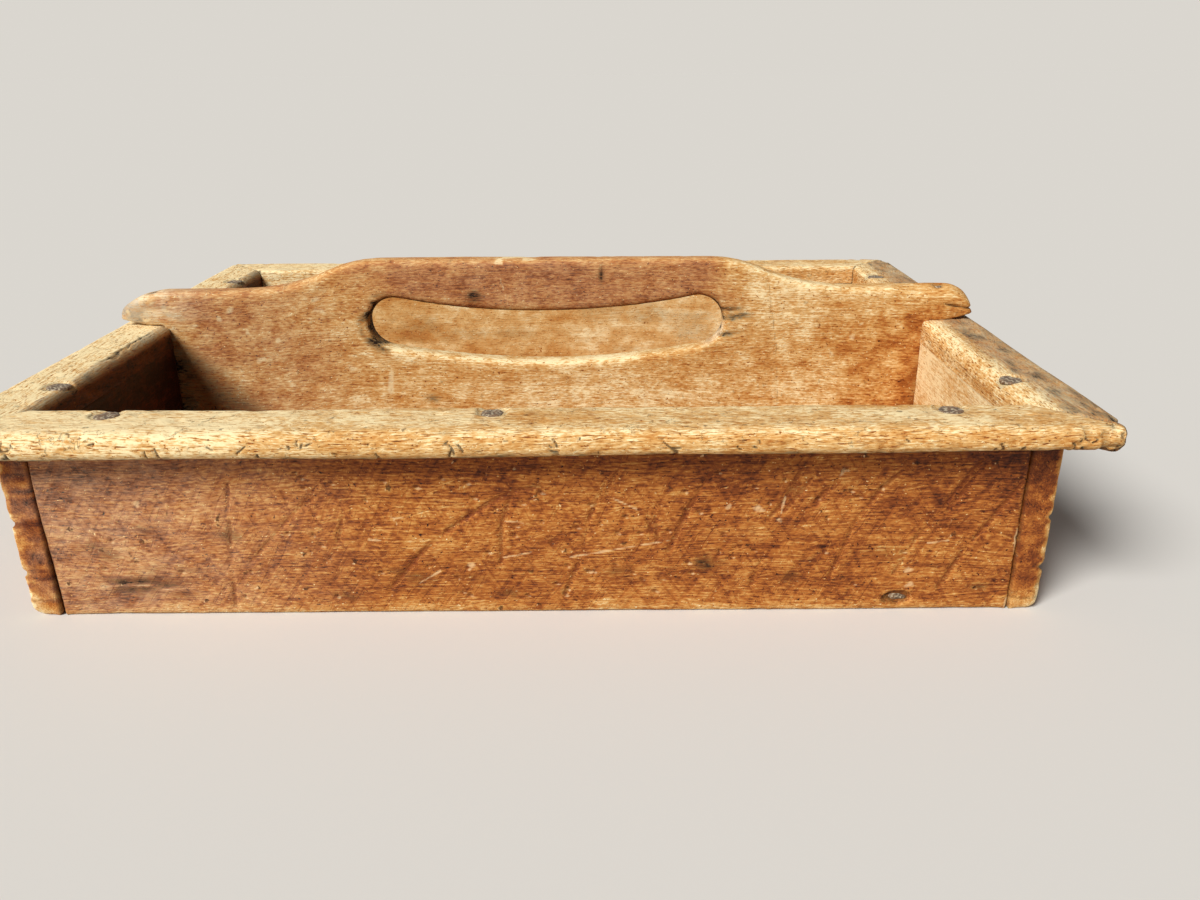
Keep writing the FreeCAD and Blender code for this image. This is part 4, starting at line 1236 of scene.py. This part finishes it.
# %% [markdown]
# ### Shape of the rim
# Each corner is rounded twice, in plan and then over the nose. A bevel modifier would do both
# at once, but evenly, and the real corners have lost different amounts. So points outside a
# round are drawn back onto it, with a radius that lumps make larger and smaller.


# %% Rim shape
def round_corner(points, corner, size):
    """Rounds an outer corner of the rim in plan, and turns its nose about that corner."""
    crumbled = np.clip(size + 1.4 * lumps(points, (4, 4, 3), 61), 1, 12)
    round_edge(points, [0, 1], corner * CORNER, -corner, crumbled)
    middle = corner * (CORNER - size)
    away = points[:, :2] - middle
    turning = (away * corner > 0.01).all(1)
    away = away[turning]
    outline = np.stack([np.linalg.norm(away, axis=1), points[turning, 2]], axis=1)
    away /= outline[:, :1]
    soft = np.clip(NOSE_ROUND + 2.4 * lumps(points[turning], 3, 62), 2, 9)
    round_edge(outline, [0, 1], (size, RIM_TOP), (-1, -1), soft)
    round_edge(outline, [0, 1], (size, RIM_LOW), (-1, 1), soft)
    points[turning, :2] = middle + away * outline[:, :1]
    points[turning, 2] = outline[:, 1]


def shaped_rim(board, seed, voxel, run, cross, out):
    """A worn rim piece with its inner arris and its corners rounded."""
    wall = CORNER[cross] - NOSE

    def rubbed(x, y, z):
        beside = out * (x, y)[cross]
        mitre = from_mitre((x, y)[run], beside, run, cross)
        stands_out = ramp(beside, wall - 2, wall + 2)
        return 0.03 + 0.65 * np.maximum(stands_out, ramp(z, RIM_LOW + 2, RIM_LOW + 5)) * ramp(mitre, 0.8, 4)

    wood = (RIM_WOOD, SIDE_RIM_WOOD)[run]
    feel = {"passes": 12, "lump": 11.0, "warp": 0.3, "dents": 0.4, "relief": 0.13}
    piece, points, normals, edge = worn_board(board, voxel, wood, rubbed, seed=seed, **feel)
    along = points[:, run]
    reach = INNER_ROUND[board] + 0.6 * lumps(points, 15, seed + 1)
    if board == "right_rim":
        reach = 1.2 + (reach - 1.2) * ramp(along, -6, -24) + 1.5 * ramp(along, 10, 60)
    inner = (out * (wall - BOARD), RIM_TOP)
    round_edge(points, [cross, 2], inner, (out, -1), np.clip(reach, 0.5, 9))
    for corner, size in CORNER_ROUND.items():
        round_corner(points, np.array(corner), size)
    if board == "front_rim":
        worn_up = 1.0 * ramp(points[:, 0], -60, 170) * ramp(points[:, 2], RIM_LOW + 5, RIM_LOW)
        points[:, 2] += worn_up * ramp(-points[:, 1], wall, wall + 4)
    return piece, points, normals, edge


print("noses are", 2 * NOSE_ROUND, "mm round")

# %% [markdown]
# ### Cracks in the nose
# The cracks are short, slanting and nearly straight, a few millimetres long. A noise pattern
# makes blotches, not cracks, so each is a broken line that keeps its direction and bends a
# little. The clearest ones lie where the photograph has them.


# %% Rim cracks
def crack_lines(board, draw, run):
    """Short broken lines on a nose: the front's as the photograph has them, and others at random."""
    spots = []
    if board == "front_rim":
        spots += [(place, draw.uniform(-2, 2)) for place in NOSE_CRACKS]
    spots += [(draw.uniform(-1, 1) * CORNER[run], draw.uniform(-3.5, 2.5)) for _ in range(STRAY_CRACKS)]
    if board == "front_rim":
        spots += CORNER_CRACKS
    lines = []
    for spot in spots:
        line = [np.array(spot)]
        step = np.array((draw.normal(0.3, 0.8), draw.normal(-0.4, 0.7)))
        for _ in range(draw.integers(2, 4)):
            line.append(line[-1] + step)
            step = 0.7 * step + (draw.normal(0, 0.25), draw.normal(0, 0.25))
        lines.append(line)
    return lines


def cut_rim(board, seed, points, run, depth, mitre, ragged):
    """How strongly a rim is cracked, ragged underneath, where dirt and painted shade darken it,
    and knocked at its corners. depth is how far points lie behind the tip of the nose, and
    ragged is a rough number for each point."""
    x, y, z = points.T
    lower = RIM_LOW + 1.9 + 1.3 * ramp(x, 0, 150)  # how high the raggedness reaches
    under = ramp(z + 1.3 * ragged, lower, RIM_LOW + 0.3) * ramp(depth, 4.5, 1.5)
    knocked = ramp(np.linalg.norm(CORNER - np.abs(points[:, :2]), axis=1), 30, 9) * ramp(mitre, 0.6, 1.6)
    knocked *= ramp(lumps(points, (3.0, 3.0, 2.2), 64), 0.0, 0.5) * ramp(depth, 8, 4)
    flat = np.stack([points[:, run], z - (RIM_LOW + 5.5) + 0.8 * depth], axis=1)
    lines = crack_lines(board, np.random.default_rng(seed), run)
    cracks = line_marks(flat, lines, 0.15 * ragged, CRACK_REACH) * ramp(depth, 8, 5)
    open_mitre = 1.6 * near(mitre, 1.0) * ramp(x, -150, -170) * (y < 0)
    return np.maximum(cracks, open_mitre), under, knocked


print("cracks in the front rim:", len(NOSE_CRACKS) + STRAY_CRACKS + len(CORNER_CRACKS))

# %% [markdown]
# ### Colour of the rim
# The top is palest and stained along the grain, and the rim is painted paler at the left and
# darker towards the right, as painted light that falls off from the left. The two end rims
# differ: the left one is painted dark inside, as dark varnish and painted shade, with a split
# in its bevel, and the right one is dull except where it is worn. A function for each of
# those keeps the common one plain.


# %% Rim colour
def rim_coat(seed, points, edge, run, depth, mitre, under, knocked):
    """How bare a rim is, with painted light paler at the left and darker at the right, and how grimy, with
    dirt and painted shade under its nose. Its nails are seated on the way.
    """
    x, y, z = points.T
    top = ramp(z, RIM_TOP - 2.5, RIM_TOP - 1)
    stain = lumps(points, long_size(run, 40, 11), seed + 4)
    stain += 0.5 * lumps(points, long_size(run, 12, 4), seed + 5)
    stain = top * ramp(stain, 0.1, 1.0)
    corner_wear = ramp(np.abs(points[:, run]), CORNER[run] - 26, CORNER[run] - 6)
    bare = 0.83 + 0.09 * top + 0.05 * lumps(points, long_size(run, 60, 10), seed + 6) - 0.1 * stain
    # Painted light: paler at the left, most on the top, and darker towards the right, as light that falls off
    # from the left.
    bare += (0.12 + 0.08 * top) * ramp(x, -40, -140) + 0.06 * np.clip(edge, 0, 0.6)
    bare -= 0.045 * ramp(x, -40, 100) * (1 - 0.6 * top)
    # Dirt and painted shade along the nose's ragged lower edge.
    grime = 0.75 * under + 0.4 * knocked
    grime += 0.3 * stain * ramp(lumps(points, long_size(run, 6, 2.5), seed + 7), 0.1, 0.8)
    grime += 0.3 * corner_wear * ramp(lumps(points, 3, 63), -0.1, 0.7)
    grime += 0.3 * seat_nails(points, seed + 9)
    tight = ramp(x, 150, 175) * ramp(y, -110, -120) * ramp(depth, 6, 9)  # the right front mitre
    grime += 0.7 * ramp(mitre, 0.7, 0.1) * (1 - 0.8 * tight)
    return bare, grime


def dull_right(points, seed, deep, ragged, coat):
    """Dulls the right rim but for its inner arris. deep is how far points lie from that side."""
    dull = ramp(deep + 2 * ragged, 6, 12)
    coat["bare"] += 0.05 * (1 - dull) - 0.08 * dull
    coat["grime"] += dull * (0.3 + 0.34 * ramp(lumps(points, (2.5, 9, 2.5), seed + 10), -0.3, 0.5))
    coat["dust"] += 0.3 * dull


def paint_left_shade_and_split(points, normals, seed, deep, ragged, coat):
    """Darkens the left rim's inner side and bevel, as dark varnish and painted shade, and splits its bevel
    along the grain.
    """
    _, y, z = points.T
    face = ramp(deep, 1.8, 0.8) * ramp(z, RIM_TOP - 2.0, RIM_TOP - 4.5)
    bevel = ramp(deep + 1.2 * ragged, 5.5, 4) * (1 - face)
    split = ramp(np.abs(deep - 4 + 1.8 * lumps(points, (4, 6, 4), seed + 10) + ragged), 0.9, 0.2)
    split *= ramp(y, -14, -20) * ramp(y, -66, -58)
    # Dark varnish and painted shade on the inner face and the bevel.
    coat["bare"] -= 0.6 * face + 0.22 * bevel
    coat["grime"] += 0.75 * face + 0.35 * bevel + 0.9 * split
    coat["dust"] += 0.22 * bevel
    points -= normals * (0.8 * split)[:, None]


print("rims stand out", NOSE, "mm")


# %% Rims
def worn_rim(board, seed, voxel, run, cross, out):
    """One rim piece, with the axes that it runs along and across, and its nose's side."""
    piece, points, normals, edge = shaped_rim(board, seed, voxel, run, cross, out)
    beside = out * points[:, cross]
    depth, deep = CORNER[cross] - beside, beside - (CORNER[cross] - NOSE - BOARD)
    mitre = from_mitre(points[:, run], beside, run, cross)
    ragged = 0.8 * lumps(points, long_size(run, 5, 2.2), seed + 2) + 0.5 * lumps(points, 1.6, seed + 3)
    cracks, under, knocked = cut_rim(board, seed, points, run, depth, mitre, ragged)
    lost = 0.55 * ramp(cracks, 0.4, 0.9) + 0.5 * under * ramp(ragged, -0.2, 0.8) + 1.0 * knocked
    points -= normals * lost[:, None]
    joint = 0.9 * ramp(points[:, 2], RIM_LOW + 0.8, RIM_LOW + 0.2) * ramp(depth, NOSE - 2, NOSE)
    bare, grime = rim_coat(seed, points, edge, run, depth, mitre, under, knocked)
    if run == 1:
        joint *= ramp(deep, 1, 3)
        tighten(piece, points, [cross, 2], (out * (CORNER[cross] - NOSE - BOARD), RIM_LOW))
    coat = {"bare": bare, "grime": grime + joint, "dust": np.zeros(len(points))}
    if board == "right_rim":
        dull_right(points, seed, deep, ragged, coat)
    if board == "left_rim":
        paint_left_shade_and_split(points, normals, seed, deep, ragged, coat)
    finish(board, piece, points, cut=cracks, **coat)


worn_rim("front_rim", seed=71, voxel=0.57, run=0, cross=1, out=-1)
worn_rim("back_rim", seed=81, voxel=0.62, run=0, cross=1, out=1)
worn_rim("left_rim", seed=91, voxel=0.53, run=1, cross=0, out=-1)
worn_rim("right_rim", seed=101, voxel=0.53, run=1, cross=0, out=1)

# %% [markdown]
# ## The handle board
# The hand has polished the bar above the slot to a dark red brown, and rubbed its top arris
# and the slot's lower edge pale. Below and beside the slot the varnish is gone, and the
# board is a mottled orange tan. A thin crack runs down at the right, the right ear has
# begun to split, and grey splinters stand at the slot's right end.

# %% Handle board marks
HANDLE_LINES = {
    "crack": [(97.9, 92.0), (102.9, 62.6), (105.1, 35.4), (106, 12)],
    "ear split": [(189, 78.5), (183, 79.2), (176.5, 80.6)],
    "bar scratch": [(-19.6, 93.6), (-16.3, 80.7)],
}  # x and z in millimetres
LARGE_SPOTS = [
    (-139.1, 80.6), (-128.5, 57.1), (-101.3, 84.3), (-88.7, 53.7), (-99.9, 79.3), (-156.5, 72.9),
]  # fmt: skip
SMALL_SPOTS = [
    (-112.0, 81.0), (-168.0, 80.0), (-177.0, 76.5), (-174.0, 83.0), (-184.5, 79.0), (-120.0, 66.0),
    (-107.0, 60.0), (-86.5, 44.0), (-133.0, 70.5), (-88.0, 39.0), (-145.0, 76.0), (137.0, 66.0),
    (128.0, 57.5), (146.0, 77.0), (139.5, 72.5),
]  # fmt: skip
DARK_SPOTS = [
    ((-31.7, 85.3), (3.0, 2.3), 1.5),
    ((24.6, 94.7), (1.0, 3.4), 1.1),
    ((-52.6, 38.6), (2.8, 1.8), 0.7),
]  # x and z, half sizes, and strength
DRIP = [(-70.8, 51.4), (-71.6, 41.9)]  # an old drip of glue
LINE_REACH, DRIP_REACH = 1.4, 3.6  # millimetres that a line's and the drip's number fall over
SLOT_HALF, SLOT_MIDDLE = 78.8, 73.5  # the hand slot's half length, and the height of its ends
print(len(LARGE_SPOTS) + len(SMALL_SPOTS), "pale spots")


# %% Handle board
def handle_rub(x, y, z):
    """Hands reach all of the board that stands above the rim, and the slot's edges."""
    slot = ramp(np.abs(x), 88, 82) * ramp(z, 46, 52)
    return 0.1 + 0.9 * np.maximum(ramp(z, RIM_TOP + 1, RIM_TOP + 5), slot)


handle, points, normals, edge = worn_board(
    "handle_board",
    voxel=0.9,
    wood=HANDLE_WOOD,
    rubbed=handle_rub,
    passes=9,
    seed=111,
    warp=0.3,
    dents=0.2,
)
x, y, z = points.T
points[:, 2] -= 2.5 * ramp(x, -168, -184) * ramp(z, 78, 87)  # the left ear is worn to a slope
ear_arris = ramp(x, 150, 165) * ramp(y, 1, -5.5)
points[:, 2] -= 2.2 * ear_arris * ramp(z, 78, 88)  # the right ear's front arris is gone
points[:, 2] += ramp(np.abs(x), 176, 190) * 2.5 * ramp(z, 78, RIM_TOP)  # both ears' lower ends are round
flat = points[:, [0, 2]]
shaky = 0.4 * lumps(points, 3, 112)
lines = {label: line_marks(flat, [line], 0.5 * shaky, LINE_REACH) for label, line in HANDLE_LINES.items()}
splinters = ramp(np.hypot(x - 80, (z - 75) * 1.1), 14, 6) * ramp(lumps(points, (10, 3, 1.2), 113), 0.0, 0.5)
sunk = 0.2 * lines["crack"] + ramp(lines["ear split"], 0.3, 0.9) + 0.3 * splinters
points -= normals * sunk[:, None]
print(f"deepest mark: {sunk.max():.2f} mm")

# %% [markdown]
# ### Colour of the handle board
# A hand leaves no sharp outline. The bar, the slot's lower edge and the ears are therefore
# soft steps with lumps on their edges, and the direction that a point faces tells a top or a
# slot's wall from the broad face.

# %% Handle board colour
bar = ramp(np.abs(x) + 10 * lumps(points, 14, 114), 96, 62)
bar *= ramp(z + 2 * lumps(points, (12, 4, 4), 115), 76, 81)
top = ramp(normals[:, 2], 0.45, 0.85) * ramp(z, 80, 84)
slot_low = ramp(np.abs(x), 82, 70) * ramp(normals[:, 2], 0.25, 0.8) * ramp(z, 72, 66)
arris_chips = ramp(np.abs(x + 13), 11, 8) * ramp(z, 98.5, 100)
arris_chips *= ramp(lumps(points, (4, 3, 3), 122), -0.1, 0.3)
patches = lumps(points, (34, 20, 13), 116) + 0.6 * lumps(points, (10, 8, 4), 117)
reddened = ramp(x + 14 * lumps(points, 9, 118), 108, 150) * ramp(z, 84, 72)
crumbly = ramp(x, -150, -172)  # the left ear
bare = 0.84 + 0.05 * patches - 0.29 * bar + 0.1 * top * ramp(np.abs(x), 95, 75)
bare += 0.08 * slot_low + 0.1 * np.clip(edge, 0, 0.6) + 0.2 * arris_chips
bare -= reddened * (0.07 + 0.16 * ramp(lumps(points, (6, 6, 5), 121), -0.1, 0.6))
bare += 0.25 * ramp(x, -150, -180) - 0.12 * ramp(x, 150, 172) - 0.18 * ramp(x, -70, -120)
bare += 0.16 * crumbly * lumps(points, (5, 3, 2), 125)
print(f"the handle board is {bare.min():.2f} to {bare.max():.2f} bare")

# %% Handle board grime and painted shade
facing = y < 0  # the side that the photograph shows
grime = 0.3 * crumbly * ramp(lumps(points, (6, 3, 2), 126), 0.2, 0.7)
# Dirt and painted shade towards the bottom, and a painted shadow that the left end casts across the board's
# lower left.
grime += 0.35 * ramp(z, 20, 10) + 0.5 * ramp(x + z, -88, -108)
grime += 0.4 * seat_nails(points, 119)
# Dirt and painted shade in the corners where the board meets the ends, below the rim.
grime += 0.2 * ramp(np.abs(x), 160, 166.8) * ramp(z, 63, 50)
slot_end = ramp(np.hypot(np.abs(x) - SLOT_HALF + 9, z - SLOT_MIDDLE), 15.5, 11.5) * (np.abs(x) > 70)
in_slot = ramp(np.abs(normals[:, 1]), 0.8, 0.4) * ramp(np.abs(x), 84, 80) * ramp(z, 56, 60) * ramp(z, 92, 88)
# Painted shade under the bar inside the slot, and dirt and painted shade on the slot's left end.
grime += 1.0 * in_slot * np.maximum(ramp(normals[:, 2], 0.1, -0.4), ramp(normals[:, 0], 0.3, 0.7))
smeared = ramp(lumps(points, (4, 3, 1.6), 120), -0.2, 0.4)
grime += slot_end * smeared * np.where(x < 0, 0.9, 0.3) + 0.8 * splinters
for spot, size, much in DARK_SPOTS:
    grime += much * blob(flat + 0.6 * shaky[:, None], spot, size) * facing
dust = 0.12 * ramp(x, -60, -120) + 0.12 * bar + 0.32 * ramp(x, -145, -170) * ramp(z, 74, 78)
dust += 0.4 * ramp(x, -174, -187) + 0.4 * in_slot * ramp(x, 66, 76) * ramp(normals[:, 2], -0.2, 0.3)
print(f"dust lies {dust.max():.2f} thick at most")

# %% Handle board finish
SMALL_SPOT, LARGE_SPOT = (1.2, 0.85), (2.04, 1.445)  # millimetres, half sizes
shaky_flat = shaken_flat(flat, points, 1.5, 2.5, 123)
pale = line_marks(flat, [DRIP], shaky, DRIP_REACH)
for spots, size in ((LARGE_SPOTS, LARGE_SPOT), (SMALL_SPOTS, SMALL_SPOT)):
    for spot in spots:
        pale = np.maximum(pale, spot_mark(shaky_flat, spot, size))
finish(
    "handle_board",
    handle,
    points,
    bare=bare,
    grime=grime,
    cut=np.maximum(0.7 * lines["crack"] * facing, lines["ear split"]),
    chip=np.max([0.75 * lines["bar scratch"], 0.9 * arris_chips, pale * facing], axis=0),
    dust=dust,
)

# %% [markdown]
# ## The floor
# The floor can't be seen in the photograph. It is one board between the walls, so it gets
# what tools do to such a floor: stains, dents, and grime that is thickest in the corners,
# where painted shade is added too.


# %% Floor board
def floor_rub(x, y, z):
    """Nothing rubs the floor's edges, which lie in the corners."""
    return np.full(len(x), 0.05)


floor_piece, points, *_ = worn_board(
    "floor_board",
    voxel=1.5,
    wood=FLOOR_WOOD,
    rubbed=floor_rub,
    passes=2,
    seed=131,
    dents=0.35,
    relief=0.12,
)
x, y, z = points.T
corner = np.max([ramp(np.abs(x), 140, 166), ramp(np.abs(y), 95, 119), ramp(np.abs(y), 20, 6)], axis=0)
smudge = ramp(lumps(points, (45, 25, 25), 132) + 0.5 * lumps(points, (14, 9, 9), 133), -0.1, 0.9)
bare = 0.55 + 0.1 * lumps(points, (60, 25, 25), 134)
# Dirt and painted shade, thickest in the corners along the walls and the handle board.
grime = 0.45 * smudge + 0.45 * corner * (0.7 + 0.3 * lumps(points, 12, 135))
grime += 0.5 * seat_nails(points, 136)
finish("floor_board", floor_piece, points, bare=bare, grime=grime)

# %% [markdown]
# ## The nails
# Every nail is hand forged iron: a flat, hammered head that is never quite round, on a
# square shank that tapers to a point. Those in the walls have narrow heads that lie along
# the grain, so they hardly show. They repeat, so a geometry tree makes them. Each row
# is a few points with the way its nails are driven. The tree puts a nail on each point,
# turns and sizes it at random, and roughens it, and one tree serves all thirteen rows.

# %% Iron material
# Wrought iron, hammered and rusted: dark brown, with rust in blooms, and pale where it is rubbed.
IRON, RUST, RUBBED_IRON = "#5B4A3B", "#7A5F46", "#C6B698"
RUST_SIZE, GRIT_SIZE = 2.4, 0.9  # millimetres
METALLIC = 0.2  # rust hides most of the metal
RUST_FROM, RUBBED_FROM, RUBBED_MOST = (0.42, 0.62), (0.5, 0.62), 0.8  # noise where each starts and is whole
PITTING = 0.4  # millimetres

iron = bpy.data.materials.new("rusted_wrought_iron")
iron.use_nodes = True
web = iron.node_tree
iron_shader = web.nodes["Principled BSDF"]
iron_shader.inputs["Metallic"].default_value = METALLIC
metres = add(web, "ShaderNodeTexCoord", out="Object")
iron_place = add(web, "ShaderNodeMapping", {"Vector": metres, "Scale": [1 / MM / RUST_SIZE] * 3})
bloom = add(web, "ShaderNodeTexNoise", {"Vector": iron_place, "Scale": 1.0, "Detail": 3.0})
grit = add(web, "ShaderNodeTexNoise", {"Vector": iron_place, "Scale": RUST_SIZE / GRIT_SIZE, "Detail": 2.0})
rusty = add(web, "ShaderNodeMapRange", {0: bloom, 1: RUST_FROM[0], 2: RUST_FROM[1], 3: 0.0, 4: 1.0})
feeds = {0: grit, 1: RUBBED_FROM[0], 2: RUBBED_FROM[1], 3: 0.0, 4: RUBBED_MOST}
bright = add(web, "ShaderNodeMapRange", feeds)
tint = add(web, "ShaderNodeMix", {0: rusty, 6: linear(IRON), 7: linear(RUST)}, out=2, data_type="RGBA")
tint = add(web, "ShaderNodeMix", {0: bright, 6: tint, 7: linear(RUBBED_IRON)}, out=2, data_type="RGBA")
dull = add(web, "ShaderNodeMapRange", {0: grit, 1: 0.3, 2: 0.7, 3: 0.72, 4: 0.45})
pitting = add(web, "ShaderNodeBump", {"Height": grit, "Strength": 0.7, "Distance": PITTING * MM})
for socket, value in (("Base Color", tint), ("Roughness", dull), ("Normal", pitting)):
    web.links.new(value, iron_shader.inputs[socket])
print("nails are", iron.name)

# %% [markdown]
# ### A nail and its row
# A smith forges a head on a square rod. In the tree that is a cylinder, blurred a little so
# that its edge is blunt, and a cone of four sides. Modelling one nail and copying it would
# show the same head thirty times, so the tree turns and sizes each one by chance.

# %% One nail
nail_tree, given = new_tree(
    "forged nails",
    {
        "Head radius": "Float",
        "Head height": "Float",
        "Shank": "Float",
        "Length": "Float",
        "Roughness": "Float",
        "Least size": "Vector",
        "Most size": "Vector",
        "Turn": "Float",
        "Sunk": "Float",
        "Seed": "Int",
        "Iron": "Material",
    },
)
HEAD_SEGMENTS = {"Vertices": 22, "Side Segments": 3, "Fill Segments": 5}
SHANK_SEGMENTS = {"Vertices": 4, "Side Segments": 8}
POINT = 0.35  # how thick the shank's tip is, beside its top
SHANK_FROM = 0.8  # where in the head's height the shank begins
HAMMERING = 2  # passes that blunt the head's edge

height, thick = given["Head height"], given["Shank"]
half = add(nail_tree, "ShaderNodeMath", {0: height, 1: 0.5}, operation="MULTIPLY")
half_down = add(nail_tree, "ShaderNodeCombineXYZ", {2: half})
feeds = {**HEAD_SEGMENTS, "Radius": given["Head radius"], "Depth": height}
head = add(nail_tree, "GeometryNodeMeshCylinder", feeds, fill_type="TRIANGLE_FAN")
place = add(nail_tree, "GeometryNodeInputPosition")
feeds = {"Value": place, "Iterations": HAMMERING}
blunt = add(nail_tree, "GeometryNodeBlurAttribute", feeds, data_type="FLOAT_VECTOR")
head = add(nail_tree, "GeometryNodeSetPosition", {"Geometry": head, "Position": blunt, "Offset": half_down})
tip = add(nail_tree, "ShaderNodeMath", {0: thick, 1: POINT}, operation="MULTIPLY")
below = add(nail_tree, "ShaderNodeMath", {0: given["Length"], 1: height}, operation="SUBTRACT")
feeds = {**SHANK_SEGMENTS, "Radius Bottom": thick, "Radius Top": tip, "Depth": below}
shank = add(nail_tree, "GeometryNodeMeshCone", feeds)
start = add(nail_tree, "ShaderNodeMath", {0: height, 1: SHANK_FROM}, operation="MULTIPLY")
shank_down = add(nail_tree, "ShaderNodeCombineXYZ", {2: start})
shank = add(nail_tree, "GeometryNodeTransform", {"Geometry": shank, "Translation": shank_down})
both = add(nail_tree, "GeometryNodeJoinGeometry", {"Geometry": head})
nail_tree.links.new(shank, both.node.inputs["Geometry"])
print("one nail:", len(nail_tree.nodes), "nodes")

# %% Nails on their points
HAMMER_SIZE = 2.4  # millimetres from one lump of the hammered iron to the next

driven = add(nail_tree, "GeometryNodeInputNamedAttribute", {"Name": "drive"}, data_type="FLOAT_VECTOR")
aim = add(nail_tree, "FunctionNodeAlignRotationToVector", {"Vector": driven}, axis="Z")
feeds = {2: 0.0, 3: given["Turn"], "Seed": given["Seed"]}
turn = add(nail_tree, "FunctionNodeRandomValue", feeds, out=1, data_type="FLOAT")
turn = add(nail_tree, "FunctionNodeAxisAngleToRotation", {"Axis": (0, 0, 1), "Angle": turn})
feeds = {"Rotation": aim, "Rotate By": turn}
aim = add(nail_tree, "FunctionNodeRotateRotation", feeds, rotation_space="LOCAL")
feeds = {0: given["Least size"], 1: given["Most size"], "Seed": given["Seed"]}
size = add(nail_tree, "FunctionNodeRandomValue", feeds, data_type="FLOAT_VECTOR")
deeper = add(nail_tree, "ShaderNodeVectorMath", {0: driven, "Scale": given["Sunk"]}, operation="SCALE")
seats = add(nail_tree, "GeometryNodeSetPosition", {"Geometry": given["Geometry"], "Offset": deeper})
feeds = {"Points": seats, "Instance": both, "Rotation": aim, "Scale": size}
nails = add(nail_tree, "GeometryNodeInstanceOnPoints", feeds)
real = add(nail_tree, "GeometryNodeRealizeInstances", {"Geometry": nails})
outward = add(nail_tree, "GeometryNodeInputNormal")
feeds = {"Vector": place, "Scale": 1 / (HAMMER_SIZE * MM), "Detail": 1.0}
lumpy = add(nail_tree, "ShaderNodeTexNoise", feeds)
lumpy = add(nail_tree, "ShaderNodeMapRange", {0: lumpy, 1: 0.25, 2: 0.75, 3: -1.0, 4: 0.4})
lumpy = add(nail_tree, "ShaderNodeMath", {0: lumpy, 1: given["Roughness"]}, operation="MULTIPLY")
lift = add(nail_tree, "ShaderNodeVectorMath", {0: outward, "Scale": lumpy}, operation="SCALE")
rough = add(nail_tree, "GeometryNodeSetPosition", {"Geometry": real, "Offset": lift})
smooth = add(nail_tree, "GeometryNodeSetShadeSmooth", {"Geometry": rough})
skin = add(nail_tree, "GeometryNodeSetMaterial", {"Geometry": smooth, "Material": given["Iron"]})
add(nail_tree, "NodeGroupOutput", {"Geometry": skin})
print("nail tree:", len(nail_tree.nodes), "nodes")

# %% Rows of nails
ROUND_HEADS = {
    "Least size": (1.02, 0.94, 0.97),
    "Most size": (1.16, 1.1, 1.0),
    "Turn": 2 * math.pi,
    "Sunk": -0.15 * MM,
}
EAR_HEADS = {
    "Least size": (0.9 * EAR_HEAD, 0.8 * EAR_HEAD, 0.97),
    "Most size": (1.05 * EAR_HEAD, EAR_HEAD, 1.0),
    "Turn": 2 * math.pi,
    "Sunk": 0.3 * MM,
}
NARROW_HEADS = {
    "Least size": (0.7, 0.28, 0.94),
    "Most size": (0.9, 0.36, 0.96),
    "Turn": 0.15,
    "Sunk": PUNCHED * MM,
}
EAR_WORN = 0.9  # millimetres that the left ear has lost round its nail
NAIL_SIZES = {
    "Head radius": 4.1 * MM,
    "Head height": 1.6 * MM,
    "Shank": 2.0 * MM,
    "Length": 31 * MM,
    "Roughness": 0.35 * MM,
    "Iron": iron,
}
for number, (row, nails) in enumerate(NAILS.items()):
    mesh = bpy.data.meshes.new(f"{row}_forged")
    mesh.from_pydata([tuple(head * MM) for head, drive in nails], [], [])
    drives = mesh.attributes.new("drive", "FLOAT_VECTOR", "POINT")
    drives.data.foreach_set("vector", np.concatenate([drive for head, drive in nails]))
    piece = bpy.data.objects.new(f"{row}_forged", mesh)
    bpy.context.scene.collection.objects.link(piece)
    heads = NARROW_HEADS if is_narrow(row) else EAR_HEADS if "ear" in row else ROUND_HEADS
    if row == "left_ear_nail":
        heads = {**heads, "Sunk": EAR_WORN * MM}
    grow(piece, nail_tree, {**NAIL_SIZES, **heads, "Seed": number})
    for spare in [layer.name for layer in piece.data.attributes if layer.name == "drive"]:
        piece.data.attributes.remove(piece.data.attributes[spare])
    place_piece(piece, row)
print(len(NAILS), "rows of nails")
